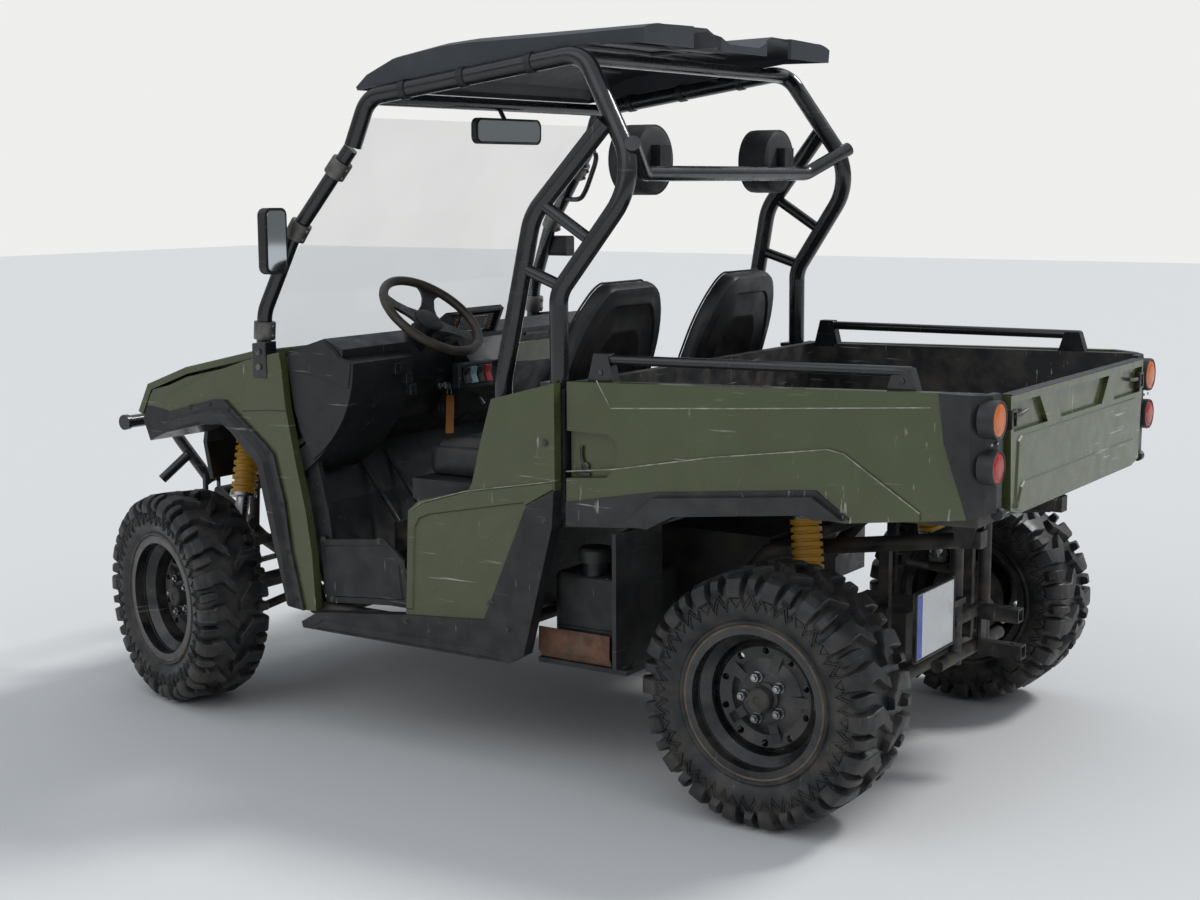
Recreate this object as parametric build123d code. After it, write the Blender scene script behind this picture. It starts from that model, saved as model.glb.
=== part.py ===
from build123d import *
import os
from math import cos, sin, radians, pi, atan2

# Two-seat side-by-side utility vehicle with a tipping cargo bed.
# Millimetres. x runs forward from the rear axle, y to the left, z up from the ground;
# the finished pieces are moved so that the origin is under the middle of the outer box.

# Overall sizes
WHEELBASE = 2030.0
TYRE_RADIUS = 323.0
BODY_HALF_WIDTH = 742.0
FRONT_OVERHANG = 490.0
BED_REAR_X = -538.0
BOX_MIDDLE_X = (WHEELBASE + FRONT_OVERHANG + BED_REAR_X) / 2

# Every place below is typed for a front axle at FRONT_AXLE_X, an axle height of AXLE_Z and a body side at
# BODY_SIDE_Y. The helpers on_x and on_y and the lift at the end carry it to the sizes above.
FRONT_AXLE_X = 2030.0
AXLE_Z = 323.0
BODY_SIDE_Y = 742.0
PANEL_INNER_Y = 705.3
AHEAD_X = 1215.0
SIDE_START_Y = 450.0
SIDE_END_Y = 590.0

# Wheels: 14 inch steel rims, wider at the rear
RIM_SEAT_RADIUS = 177.0
RIM_LIP_RADIUS = 192.0
RIM_SHEET = 7.0
REAR_WHEEL_Y = 672.0
REAR_RIM_HALF_WIDTH = 118.0
REAR_TYRE_HALF_WIDTH = 140.0
REAR_DISC_OFFSET = 52.0
FRONT_WHEEL_OFFSET = 85.0
FRONT_RIM_HALF_WIDTH = 95.0
FRONT_TYRE_HALF_WIDTH = 115.0
FRONT_DISC_OFFSET = 10.0
HUB_FLANGE_RADIUS = 62.0
HUB_CAP_RADIUS = 31.0
STUD_CIRCLE_RADIUS = 55.0
STUD_COUNT = 5
VENT_COUNT = 10
VENT_RADIUS = 9.0
VENT_CIRCLE_RADIUS = 118.0
RIB_WIDTH = 26.0
LUG_PITCHES = 18
LUG_DEPTH = 21.0
LUG_LENGTH = 34.0

# Steering
KINGPIN_Y = 600.0
REST_STEER = -16.0
STEERING_ARM = 100.0
RACK_X = FRONT_AXLE_X - 80.0
RACK_Z = 378.0
STEERING_WHEEL_CENTRE = (1337.0, 345.0, 1195.0)
STEERING_WHEEL_RADIUS = 174.0
STEERING_RIM_SECTION = 14.0
COLUMN_RAKE = 51.5
COLUMN_SHAFT = 22.0

# Frame tubes and the cage
FRAME_TUBE = 42.0
CROSS_TUBE = 36.0
RAIL_Y = 300.0
RAIL_Z = 350.0
CAGE_TUBE = 50.0
BRACE_TUBE = 32.0
SILL_Y = 680.0
CAGE_FOOT_Y = 676.0

# Cargo bed
BED_FRONT_X = 602.0
BED_TUB_REAR_X = -494.0
BED_FLOOR_Z = 812.0
BED_WALL = 34.0
BED_SIDE_SKIN = 26.0
BED_PIVOT = (-352.0, 690.0)
GATE_PIVOT = (-520.0, 806.0)
BED_PIN = 16.0
GATE_FACE_X = -533.0
GATE_THICKNESS = 28.0
GATE_HALF_WIDTH = 514.0
GATE_FOOT_HALF_WIDTH = GATE_HALF_WIDTH - 18
PAD_INNER_Y = GATE_HALF_WIDTH + 14
GATE_TOP_Z = 1084.0
GATE_FOOT_Z = 792.0
GATE_PIN = 14.0
GATE_PIN_END_Y = GATE_HALF_WIDTH + 31

# Clearances
SEAT = 0.3
PIN_GAP = 0.5


def on_x(x):
    """Real place along the vehicle: what stands ahead of the seats goes with the front axle."""
    return x + WHEELBASE - FRONT_AXLE_X if x > AHEAD_X else x


def on_y(y):
    """Real place across the vehicle: what stands outboard goes with the body's side."""
    share = min(max((abs(y) - SIDE_START_Y) / (SIDE_END_Y - SIDE_START_Y), 0.0), 1.0)
    return y + (share if y > 0 else -share) * (BODY_HALF_WIDTH - BODY_SIDE_Y)


def placed(point):
    """Typed point carried to its real place."""
    x, y, z = Vector(*point) if isinstance(point, tuple) else point
    return Vector(on_x(x), on_y(y), z)


def polygon(points):
    """Closed flat face through two-column points."""
    return make_face(Polyline(*[(a, b) for a, b in points], close=True))


def face_xz(points, y):
    """Face from (x, z) points, standing at the given y."""
    return Face(Wire.make_polygon([placed((x, y, z)) for x, z in points]))


def face_xy(points, z):
    """Face from (x, y) points, lying at the given z."""
    return Face(Wire.make_polygon([placed((x, y, z)) for x, y in points]))


def face_yz(points, x):
    """Face from (y, z) points, standing across at the given x."""
    return Face(Wire.make_polygon([placed((x, y, z)) for y, z in points]))


def across(points, y0, y1):
    """Side outline carried across the vehicle from y0 to y1."""
    return Part() + Solid.extrude(face_xz(points, y0), Vector(0, on_y(y1) - on_y(y0), 0))


def upright(points, z0, z1):
    """Plan outline carried up from z0 to z1."""
    return Part() + Solid.extrude(face_xy(points, z0), Vector(0, 0, z1 - z0))


def along(points, x0, x1):
    """Cross-section carried along the vehicle from x0 to x1."""
    return Part() + Solid.extrude(face_yz(points, x0), Vector(on_x(x1) - on_x(x0), 0, 0))


def block(x0, x1, y0, y1, z0, z1):
    """Box between three pairs of limits."""
    low, high = placed((x0, y0, z0)), placed((x1, y1, z1))
    size = high - low
    return Pos(*((low + high) * 0.5)) * Box(*size)


def strip(points, thickness):
    """Outline of a bent sheet: the given line and its offset to the left, mitred at each bend."""
    offsets = []
    last = len(points) - 1
    for i, (a, b) in enumerate(points):
        before = points[max(i - 1, 0)]
        after = points[min(i + 1, last)]
        turn_in = atan2(b - before[1], a - before[0]) if i > 0 else None
        turn_out = atan2(after[1] - b, after[0] - a) if i < last else None
        turn_in = turn_out if turn_in is None else turn_in
        turn_out = turn_in if turn_out is None else turn_out
        half = (turn_out - turn_in) / 2
        middle = turn_in + half + pi / 2
        reach = thickness / cos(half)
        offsets.append((a + reach * cos(middle), b + reach * sin(middle)))
    return list(points) + offsets[::-1]


def rod(start, end, diameter):
    """Straight round bar between two points."""
    a, b = placed(start), placed(end)
    return Part() + Solid.make_cylinder(diameter / 2, (b - a).length, Plane(origin=a, z_dir=b - a))


def tube(points, radii, diameter):
    """Round tube along straight runs joined by arcs."""
    path = FilletPolyline(*[placed(point) for point in points], radius=radii)
    ring = Plane(origin=path @ 0, z_dir=path % 0) * Circle(diameter / 2)
    return Part() + sweep(ring, path=path)


def both(piece):
    """A piece of the left side together with its mirror on the right."""
    return piece + mirror(piece, about=Plane.XZ)


def spun(profile):
    """Ring or disc from (radius, y) points turned about the y axis."""
    return Part() + revolve(polygon(profile), axis=Axis.Y)


def raised(points, y, height, taper=35):
    """Field with bevelled edges standing out of a left-side panel, from an (x, z) outline."""
    return Part() + extrude(face_xz(points, y), amount=height, taper=taper, dir=(0, 1, 0))


def ring_of(piece, count, start=0.0):
    """Copies of a piece evenly round the y axis."""
    return [Rot(0, start + 360.0 * i / count, 0) * piece for i in range(count)]


# Wheels

def pressed_rib(disc_y):
    """One stiffening rib pressed into a wheel disc, along its radius."""
    foot = [(HUB_FLANGE_RADIUS + 6, disc_y - 18), (HUB_FLANGE_RADIUS + 6, disc_y + 4), (92.0, disc_y + 4),
            (136.0, disc_y - 3), (144.0, disc_y - 12), (144.0, disc_y - 26)]
    profile = Face(Wire.make_polygon([(r, y, -RIB_WIDTH / 2) for r, y in foot]))
    return Part() + Solid.extrude(profile, Vector(0, 0, RIB_WIDTH))


def rim(half_width, disc_y):
    """Steel wheel about its own centre, outer side towards +y."""
    seat, lip, t = RIM_SEAT_RADIUS, RIM_LIP_RADIUS, RIM_SHEET
    well = seat - 22
    barrel = spun([
        (lip, half_width), (lip, half_width - t), (seat + 2, half_width - t - 2),
        (seat, half_width - 14), (seat - 2, half_width - 40), (well, half_width - 58),
        (well, -half_width + 58), (seat - 2, -half_width + 40), (seat, -half_width + 14),
        (seat + 2, -half_width + t + 2), (lip, -half_width + t), (lip, -half_width),
        (seat - t + 2, -half_width), (seat - t, -half_width + 36), (well - t, -half_width + 58),
        (well - t, half_width - 58), (seat - t, half_width - 36), (seat - t + 2, half_width),
    ])
    disc = spun([
        (0.0, disc_y - t), (HUB_FLANGE_RADIUS + 14, disc_y - t), (98.0, disc_y - t - 16),
        (128.0, disc_y - t - 10), (well - t, disc_y - t - 30), (well - t, disc_y - 14),
        (128.0, disc_y + 2), (98.0, disc_y - 6), (HUB_FLANGE_RADIUS + 14, disc_y + 2),
        (HUB_FLANGE_RADIUS, disc_y + 6), (HUB_CAP_RADIUS + 8, disc_y + 6),
        (HUB_CAP_RADIUS, disc_y + 14), (HUB_CAP_RADIUS - 5, disc_y + 34), (0.0, disc_y + 36),
    ])
    vent = Pos(VENT_CIRCLE_RADIUS, disc_y - 10, 0) * Rot(90, 0, 0) * Cylinder(VENT_RADIUS, 60)
    disc = disc - ring_of(vent, VENT_COUNT, 18)
    rib = pressed_rib(disc_y)
    disc = disc + ring_of(rib, STUD_COUNT, 36)
    nut = Pos(STUD_CIRCLE_RADIUS, disc_y + 12, 0) * Rot(90, 0, 0) * extrude(RegularPolygon(11, 6), 10, both=True)
    return barrel + disc + ring_of(nut, STUD_COUNT)


def tyre(half_width, rim_half_width):
    """Tyre about its own centre: closed ring with chevron lugs that wrap the shoulder."""
    bead = RIM_SEAT_RADIUS + SEAT
    base = TYRE_RADIUS - LUG_DEPTH
    beads_y = rim_half_width - 15
    half = [
        (bead, beads_y), (bead + 22, beads_y + 8), (bead + 60, half_width - 4),
        (base - 34, half_width - 8), (base - 10, half_width - 26), (base, half_width - 50),
    ]
    carcass = spun(half + [(r, -y) for r, y in reversed(half)])
    crown = TYRE_RADIUS
    shoulder = [
        (bead + 60, half_width - 1), (base - 30, half_width), (crown - 18, half_width - 4),
        (crown - 4, half_width - 26), (crown, half_width - 52),
    ]
    envelope = spun(shoulder + [(r, -y) for r, y in reversed(shoulder)])
    pitch = 2 * pi * TYRE_RADIUS / LUG_PITCHES
    # Lug outline, columns: place round the tyre, place across it
    lug_plan = [
        (-0.36 * pitch, 4), (-0.36 * pitch + LUG_LENGTH, 4), (0.02 * pitch + LUG_LENGTH, 0.55 * half_width),
        (-0.12 * pitch + LUG_LENGTH, half_width + 6), (-0.12 * pitch - 4, half_width + 6),
        (0.02 * pitch - 6, 0.55 * half_width),
    ]
    top = Face(Wire.make_polygon([(TYRE_RADIUS + 5, across_, round_) for round_, across_ in lug_plan]))
    lug = Part() + Solid.extrude(top, Vector(-LUG_DEPTH - 45, 0, 0))
    other = Rot(0, 180.0 / LUG_PITCHES, 0) * mirror(lug, about=Plane.XZ)
    lugs = Part() + ring_of(lug, LUG_PITCHES) + ring_of(other, LUG_PITCHES)
    return carcass + (lugs & envelope)


def rear_place(side):
    """Place of a rear wheel; side is +1 left, -1 right."""
    flip = Rot(0, 0, 0) if side > 0 else Rot(0, 0, 180)
    return Pos(0, side * on_y(REAR_WHEEL_Y), AXLE_Z) * flip


def front_place(side, offset):
    """Place at the given distance outboard of a kingpin, turned by the steering at rest."""
    flip = Rot(0, 0, 0) if side > 0 else Rot(0, 0, 180)
    return Pos(WHEELBASE, side * on_y(KINGPIN_Y), AXLE_Z) * Rot(0, 0, REST_STEER) * flip * Pos(0, offset, 0)


def wheels():
    """The four rims and tyres by node name."""
    rear_rim = rim(REAR_RIM_HALF_WIDTH, REAR_DISC_OFFSET)
    rear_tyre = tyre(REAR_TYRE_HALF_WIDTH, REAR_RIM_HALF_WIDTH)
    front_rim = rim(FRONT_RIM_HALF_WIDTH, FRONT_DISC_OFFSET)
    front_tyre = tyre(FRONT_TYRE_HALF_WIDTH, FRONT_RIM_HALF_WIDTH)
    pieces = {}
    for name, side in (("left", 1), ("right", -1)):
        pieces["rim_rear_" + name] = rear_place(side) * rear_rim
        pieces["tyre_rear_" + name] = rear_place(side) * rear_tyre
        pieces["rim_front_" + name] = front_place(side, FRONT_WHEEL_OFFSET) * front_rim
        pieces["tyre_front_" + name] = front_place(side, FRONT_WHEEL_OFFSET) * front_tyre
    return pieces


# Running gear

KNUCKLE_HALF_HEIGHT = 96.0
ARM_TUBE = 28.0
BALL_BOSS = 22.0


def knuckle(side):
    """Steered upright with its spindle and its steering arm, about the kingpin."""
    spindle_end = FRONT_WHEEL_OFFSET + FRONT_DISC_OFFSET - RIM_SHEET - PIN_GAP
    body = block(-26, 26, -24, 30, -KNUCKLE_HALF_HEIGHT, KNUCKLE_HALF_HEIGHT)
    spindle = rod((0, 20, 0), (0, spindle_end - 12, 0), 56)
    flange = rod((0, spindle_end - 14, 0), (0, spindle_end, 0), 2 * HUB_FLANGE_RADIUS)
    brake = rod((0, 40, 0), (0, 48, 0), 210)
    arm_low = RACK_Z - AXLE_Z
    arm = block(-STEERING_ARM - 16, -20, -16, 16, arm_low - 8, arm_low + 8)
    whole = body + spindle + flange + brake + arm
    if side < 0:
        whole = mirror(whole, about=Plane.XZ)
    return Pos(WHEELBASE, side * on_y(KINGPIN_Y), AXLE_Z) * Rot(0, 0, REST_STEER) * whole


def steering_rack():
    """Rack bar with its tie rods, which end over the steering arms."""
    angle = radians(REST_STEER)
    bar = rod((RACK_X, -250, RACK_Z + 30), (RACK_X, 250, RACK_Z + 30), 26)
    pieces = bar
    for side in (1, -1):
        eye = (FRONT_AXLE_X - STEERING_ARM * cos(angle), side * KINGPIN_Y - STEERING_ARM * sin(angle))
        joint = (RACK_X, side * 250, RACK_Z + 30)
        pieces += rod(joint, (eye[0], eye[1], RACK_Z + 30), 18)
        pieces += rod((eye[0], eye[1], RACK_Z + 14), (eye[0], eye[1], RACK_Z + 44), 32)
    return pieces


def a_arm(hub, inner_x, inner_y, inner_z, spread):
    """Wishbone from a hub point to two pivots on the frame, left side."""
    piece = rod(hub, (inner_x + spread, inner_y, inner_z), ARM_TUBE)
    piece += rod(hub, (inner_x - spread, inner_y, inner_z), ARM_TUBE)
    for end in (inner_x - spread, inner_x + spread):
        piece += rod((end - 24, inner_y, inner_z), (end + 24, inner_y, inner_z), 38)
    mid = 0.45
    bridge_y = inner_y + mid * (hub[1] - inner_y)
    bridge_z = inner_z + mid * (hub[2] - inner_z)
    reach = spread * (1 - mid)
    return piece + rod((inner_x - reach, bridge_y, bridge_z), (inner_x + reach, bridge_y, bridge_z), 22)


def front_arms():
    """Upper and lower front wishbones with their ball bosses, both sides."""
    top = AXLE_Z + KNUCKLE_HALF_HEIGHT + PIN_GAP + 24
    low = AXLE_Z - KNUCKLE_HALF_HEIGHT - PIN_GAP - 24
    arms = []
    for hub_z, inner_z in ((top, 480.0), (low, 285.0)):
        arm = a_arm((FRONT_AXLE_X, KINGPIN_Y - 6, hub_z), FRONT_AXLE_X, RAIL_Y + 20, inner_z, 120)
        arm += rod((FRONT_AXLE_X, KINGPIN_Y, hub_z - 24), (FRONT_AXLE_X, KINGPIN_Y, hub_z + 24), 2 * BALL_BOSS)
        arms.append(arm)
    return both(arms[0] + arms[1])


def rear_arms():
    """Rear wishbones, uprights and stub spindles, both sides."""
    upright_y = 540.0
    spindle_end = REAR_WHEEL_Y + REAR_DISC_OFFSET - RIM_SHEET - PIN_GAP
    arm = a_arm((0, upright_y, AXLE_Z + 84), 0, RAIL_Y + 20, 470, 120)
    arm += a_arm((0, upright_y, AXLE_Z - 84), 0, RAIL_Y + 20, 270, 120)
    arm += block(-28, 28, upright_y - 22, upright_y + 28, AXLE_Z - 98, AXLE_Z + 98)
    arm += rod((0, upright_y, AXLE_Z), (0, spindle_end, AXLE_Z), 60)
    arm += rod((0, spindle_end - 16, AXLE_Z), (0, spindle_end, AXLE_Z), 2 * HUB_FLANGE_RADIUS)
    arm += rod((0, upright_y + 40, AXLE_Z), (0, upright_y + 49, AXLE_Z), 230)
    return both(arm)


# Damper places, columns: lower eye, upper eye (left side)
DAMPERS = (
    ((30.0, 419.0, 473.5), (75.0, 372.0, 740.0)),
    ((2060.0, 443.0, 498.0), (2095.0, 345.0, 800.0)),
)
SPRING_RADIUS = 36.0
SPRING_WIRE = 11.0
SPRING_TURNS = 7


def damper(lower, upper):
    """Shock absorber body, rod, eyes and spring seats between two eyes."""
    a, b = Vector(*lower), Vector(*upper)
    d = b - a
    piece = rod(a, a + d * 0.5, 44) + rod(a + d * 0.45, b, 18)
    piece += rod(a + d * 0.30, a + d * 0.33, 86) + rod(a + d * 0.88, a + d * 0.91, 86)
    for eye in (a, b):
        piece += rod((eye.X - 22, eye.Y, eye.Z), (eye.X + 22, eye.Y, eye.Z), 40)
    return piece


def spring(lower, upper):
    """Coil of round wire as stacked turns between the damper's two spring seats."""
    a, b = placed(lower), placed(upper)
    d = b - a
    low, high = a + d * 0.33, a + d * 0.88
    span = (high - low).length
    pitch = (span - SPRING_WIRE) / SPRING_TURNS
    inner, outer = SPRING_RADIUS - SPRING_WIRE / 2, SPRING_RADIUS + SPRING_WIRE / 2
    sleeve = [(inner, 0.0)]
    for i in range(SPRING_TURNS):
        z = i * pitch
        sleeve += [(outer, z), (outer, z + SPRING_WIRE), (inner + 3, z + SPRING_WIRE + 2), (inner + 3, z + pitch - 2)]
    sleeve += [(outer, SPRING_TURNS * pitch), (outer, span), (inner, span)]
    body = Part() + revolve(Plane.XZ * polygon(sleeve), axis=Axis.Z)
    return Plane(origin=low, z_dir=d) * body


def drivetrain():
    """Engine block, the two final drives, shafts and boots as one run of metal."""
    engine = block(265, 620, -205, 205, 285, 610)
    side = CROSS_TUBE / 2 + SEAT
    tail = block(-120 + side, 135 - side, -110, 110, 235, 420)
    nose = block(FRONT_AXLE_X - 120 + side, FRONT_AXLE_X + 120 - side, -80, 80, 250, 385)
    engine += both(block(500, 560, 204, RAIL_Y - FRAME_TUBE / 2 - SEAT, 335, 365))
    link = rod((80, 0, 330), (300, 0, 340), 70)
    prop = rod((600, 60, 312), (FRONT_AXLE_X - 50, 0, 312), 28)
    shafts = Part()
    for x, start, end, boot in ((0, 100, 518 - SEAT, 430), (FRONT_AXLE_X, 70, 548, 470)):
        for side in (1, -1):
            shafts += rod((x, side * start, AXLE_Z), (x, side * end, AXLE_Z), 28)
            shafts += rod((x, side * start, AXLE_Z), (x, side * (start + 70), AXLE_Z), 78)
            shafts += rod((x, side * boot, AXLE_Z), (x, side * end, AXLE_Z), 78)
    return engine + tail + nose + link + prop + shafts


# Frame

def sill_tubes():
    """The frame's two side tubes, fattened by the seating gap, to cut what stands on them."""
    return both(rod((740, SILL_Y, RAIL_Z), (1550, SILL_Y, RAIL_Z), FRAME_TUBE + 2 * SEAT))


RAIL_END_Z = BED_PIVOT[1]
RAIL_END_SIZE = 44.0
LUG_GAP = 5.0
LUG_PLATE = 8.0
HITCH_X = -240.0
POST_Y = 100.0
HITCH_LOW_Z = 320.0
HITCH_HIGH_Z = 420.0
# Cross tubes, columns: x, z, half length
CROSS_TUBES = ((HITCH_X, 668, RAIL_Y), (HITCH_X, HITCH_LOW_Z, 220), (HITCH_X, HITCH_HIGH_Z, 130), (650, 690, SILL_Y),
               (900, RAIL_Z, SILL_Y), (1450, RAIL_Z, SILL_Y), (2330, 560, RAIL_Y - 30), (2130, 890, RAIL_Y - 22),
               (-120, 262, RAIL_Y - 10), (135, 262, RAIL_Y - 10), (FRONT_AXLE_X - 120, 265, RAIL_Y - 10),
               (FRONT_AXLE_X + 120, 265, RAIL_Y - 10), (240, 585, RAIL_Y))


def frame():
    """Welded tube ladder with the bed pivots, the cage foot posts and the front tower."""
    rail = tube([(-384, RAIL_Y, RAIL_END_Z), (215, RAIL_Y, 600), (430, RAIL_Y, RAIL_Z),
                 (1900, RAIL_Y, RAIL_Z), (2120, RAIL_Y - 20, 430), (2330, RAIL_Y - 30, 560)],
                [90, 90, 90, 90], FRAME_TUBE)
    post = rod((650, RAIL_Y, RAIL_Z), (650, RAIL_Y, 690), FRAME_TUBE)
    tower = rod((2160, RAIL_Y - 22, 440), (2130, RAIL_Y - 22, 900), 34)
    tower += rod((1995, RAIL_Y, 385), (2130, RAIL_Y - 22, 880), 34)
    pivot_x, pivot_z = BED_PIVOT
    half = RAIL_END_SIZE / 2
    pivot = block(pivot_x - 40, pivot_x + 30, RAIL_Y - half, RAIL_Y + half, pivot_z - half, pivot_z + half)
    sill = rod((760, SILL_Y, RAIL_Z), (1530, SILL_Y, RAIL_Z), FRAME_TUBE)
    foot = block(637, 677, SILL_Y - 18, SILL_Y + 18, 690, 1055)
    pin_reach = half + LUG_GAP + LUG_PLATE
    pivot += rod((pivot_x, RAIL_Y - pin_reach, pivot_z), (pivot_x, RAIL_Y + pin_reach, pivot_z), BED_PIN)
    drop = rod((HITCH_X, POST_Y, 660), (HITCH_X, POST_Y, 300), CROSS_TUBE)
    arm_pivots = Part()
    for x, top in ((-120, 650), (120, 610), (FRONT_AXLE_X - 120, 500), (FRONT_AXLE_X + 120, 500)):
        arm_pivots += block(x - 14, x + 14, RAIL_Y - 22, RAIL_Y + 20 - 19 - SEAT, 245, top)
    ears = block(97 + SEAT, 105, RAIL_Y - 4, 392, 720, 760) + rod((101, RAIL_Y + 4, 600), (101, RAIL_Y + 34, 740), 30)
    ears += block(2117 + SEAT, 2126, RAIL_Y - 40, 365, 780, 820)
    guide = block(RACK_X - 24, RACK_X + 24, 95, 125, RACK_Z - 4, RACK_Z + 64)
    guide += block(RACK_X - 54, RACK_X - 10, 95, 125, 262, RACK_Z)
    guide -= rod((RACK_X, 80, RACK_Z + 30), (RACK_X, 140, RACK_Z + 30), 26 + 2 * PIN_GAP)
    left = rail + post + tower + pivot + sill + foot + drop + arm_pivots + ears + guide
    whole = both(left)
    for x, z, reach in CROSS_TUBES:
        whole += rod((x, -reach, z), (x, reach, z), CROSS_TUBE)
    return whole



# Cage and roof

# Cage hoop, columns: x, half width, z
HOOP = ((645, CAGE_FOOT_Y, 1063), (646, CAGE_FOOT_Y, 1300), (428, 630, 1600), (636, 566, 1922), (1352, 592, 1826),
        (1405, 602, 1690))
FRONT_TUBE = ((829, CAGE_FOOT_Y, 360), (829, CAGE_FOOT_Y, 1058), (742, 655, 1500), (537, 618, 1738))


HEADREST_X = 541.0


def cage():
    """Rear hoops with their front tubes, braces, headrest bar and roof cross tubes."""
    side = tube(HOOP, [90, 170, 90, 75], CAGE_TUBE)
    side += tube(FRONT_TUBE, [160, 150], CAGE_TUBE)
    side += rod((709, 653, 1529), (560, 650, 1436), BRACE_TUBE)
    side += rod((757, 664, 1358), (640, CAGE_FOOT_Y, 1319), BRACE_TUBE)
    side += block(618, 690, CAGE_FOOT_Y - 26, CAGE_FOOT_Y + 25, 1055 + SEAT, 1066)
    whole = both(side) - sill_tubes()
    bar = tube([(446, -628, 1684), (512, -470, 1608), (512, 470, 1608), (446, 628, 1684)], [60, 60], 42)
    whole += bar + both(block(512, HEADREST_X - SEAT, 330, 386, 1592, 1684))
    for x, z, reach in ((636, 1908, 560), (1335, 1822, 585)):
        whole += rod((x, -reach, z), (x, reach, z), 38)
    return whole


# Front pillar, columns: x, half width, z
PILLAR = ((1412, 604, 1683), (1600, 650, 1432), (1692, 680, 1215), (1705, 682, 1041), (1640, SILL_Y, 700),
          (1506, SILL_Y, 360))
COLLARS = ((1452, 613, 1629), (1583, 646, 1452), (1694, 681, 1160))


PILLAR_TUBE = 44.0
PILLAR_BENDS = [200, 120, 120, 160]


def front_pillars():
    """Windscreen pillars with their clamp collars."""
    side = tube(PILLAR, PILLAR_BENDS, PILLAR_TUBE)
    above = Vector(1600, 650, 1432) - Vector(1412, 604, 1683)
    lean = Vector(1692, 680, 1215) - Vector(1600, 650, 1432)
    down = Vector(1705, 682, 1041) - Vector(1692, 680, 1215)
    for place, direction in zip(COLLARS, (above, lean * 0.5 + above * 0.5, down)):
        step = direction.normalized() * 26
        centre = Vector(*place)
        side += rod(centre - step, centre + step, 60)
    return both(side) - sill_tubes()


# Roof cross-sections, columns: x, half width, rim z, shoulder z, crown z
ROOF = ((470, 535, 1942.3, 1980.3, 2001.3), (640, 566, 1946.1, 1971.3, 1995.3), (735, 573, 1934.5, 1967.3, 1993.3),
        (1000, 590, 1899.1, 1961.3, 1985.3), (1093, 594, 1886.7, 1954.3, 1977.3), (1252, 602, 1865.3, 1927.3, 1949.3),
        (1350, 600, 1852.3, 1887.3, 1901.3), (1395, 594, 1846.3, 1855.3, 1861.3))
ROOF_REAR_X = ROOF[0][0]
ROOF_FRONT_X = ROOF[-1][0]
ROOF_SHEET = 8.0


def roof_form(inset, drop):
    """Solid inside the roof's outer surface, smaller by an inset and lower by a drop."""
    sections = []
    for typed_x, typed_half, rim, shoulder, crown in ROOF:
        x, half = on_x(typed_x), on_y(typed_half) - inset
        foot, edge, top = rim - 2 * drop, shoulder - drop, crown - drop
        low_left, left, right, low_right = (x, -half + 6, foot), (x, -half, edge), (x, half, edge), (x, half - 6, foot)
        knee, knee_z = 0.82 * half, edge + 0.68 * (top - edge)
        bend, bend_z = 0.94 * half, edge + 0.45 * (top - edge)
        left_knee, right_knee = (x, -knee, knee_z), (x, knee, knee_z)
        outline = [Edge.make_line(low_left, left),
                   Edge.make_three_point_arc(left, (x, -bend, bend_z), left_knee),
                   Edge.make_three_point_arc(left_knee, (x, 0, top), right_knee),
                   Edge.make_three_point_arc(right_knee, (x, bend, bend_z), right),
                   Edge.make_line(right, low_right), Edge.make_line(low_right, low_left)]
        sections.append(Wire(outline))
    return Part() + Solid.make_loft(sections, ruled=True)


def roof_trough(sheet):
    """Dip in the middle of the roof's rear edge, grown by the thickness of the sheet under it."""
    section = [(-270 - sheet, 2030), (-85 - sheet, 1962 - sheet), (85 + sheet, 1962 - sheet), (270 + sheet, 2030)]
    ramp = [(ROOF_REAR_X - 20, 1900), (560 + sheet, 1900), (760 + sheet, 2040), (ROOF_REAR_X - 20, 2040)]
    return along(section, ROOF_REAR_X - 10, 800) & across(ramp, -330, 330)


def roof():
    """Moulded roof tray: drooping front, tall turned-down rim and raised wings beside the rear dip."""
    inside = roof_form(ROOF_SHEET, ROOF_SHEET) & block(ROOF_REAR_X + 8, ROOF_FRONT_X - 10, -700, 700, 1700, 2100)
    shell = (roof_form(0, 0) - roof_trough(0)) - (inside - roof_trough(ROOF_SHEET))
    for side in (1, -1):
        notch = [(ROOF_REAR_X - 10, side * 290), (ROOF_REAR_X - 10, side * 120), (ROOF_REAR_X + 14, side * 150),
                 (ROOF_REAR_X + 14, side * 270)]
        shell -= upright(notch, 1900, 2050)
    return shell


def windscreen():
    """Clear screen in two flat planes between the pillars."""
    line = strip([(1694, 1100), (1684, 1262), (1372, 1770)], 5)
    edge = [(656, 1060), (655, 1215), (624, 1432), (578, 1683), (556, 1790)]
    sheet = across(line, -660, 660) & along(edge + [(-y, z) for y, z in reversed(edge)], 1300, 1800)
    return sheet - front_pillars()


def headrests():
    """Round padded drums on the headrest bar."""
    drum = rod((HEADREST_X, 358, 1645), (HEADREST_X + 99, 358, 1645), 190)
    return both(fillet(drum.edges().filter_by(GeomType.CIRCLE), 14))


# Body panels

# Line where the wheel-arch moulding meets the fender, columns: x, z
ARCH_LINE = [(2044, 903), (1866, 949), (1809, 952), (1762, 916), (1648, 832), (1618, 804), (1580, 667), (1560, 528),
             (1516, 351)]


def front_fenders():
    """Green side panels ahead of the doorways."""
    outline = [(1593, 1104), (1726, 1074), (1772, 1059), (1873, 1028), (1939, 998), (2015, 962), (2102, 914)]
    outline += ARCH_LINE
    outline += [(1475, 353), (1485, 519), (1505, 646), (1536, 773), (1573, 947), (1585, 1067)]
    return both(across(outline, PANEL_INNER_Y, PANEL_INNER_Y + 28))


LINER_INNER_Y = 690.0


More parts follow.
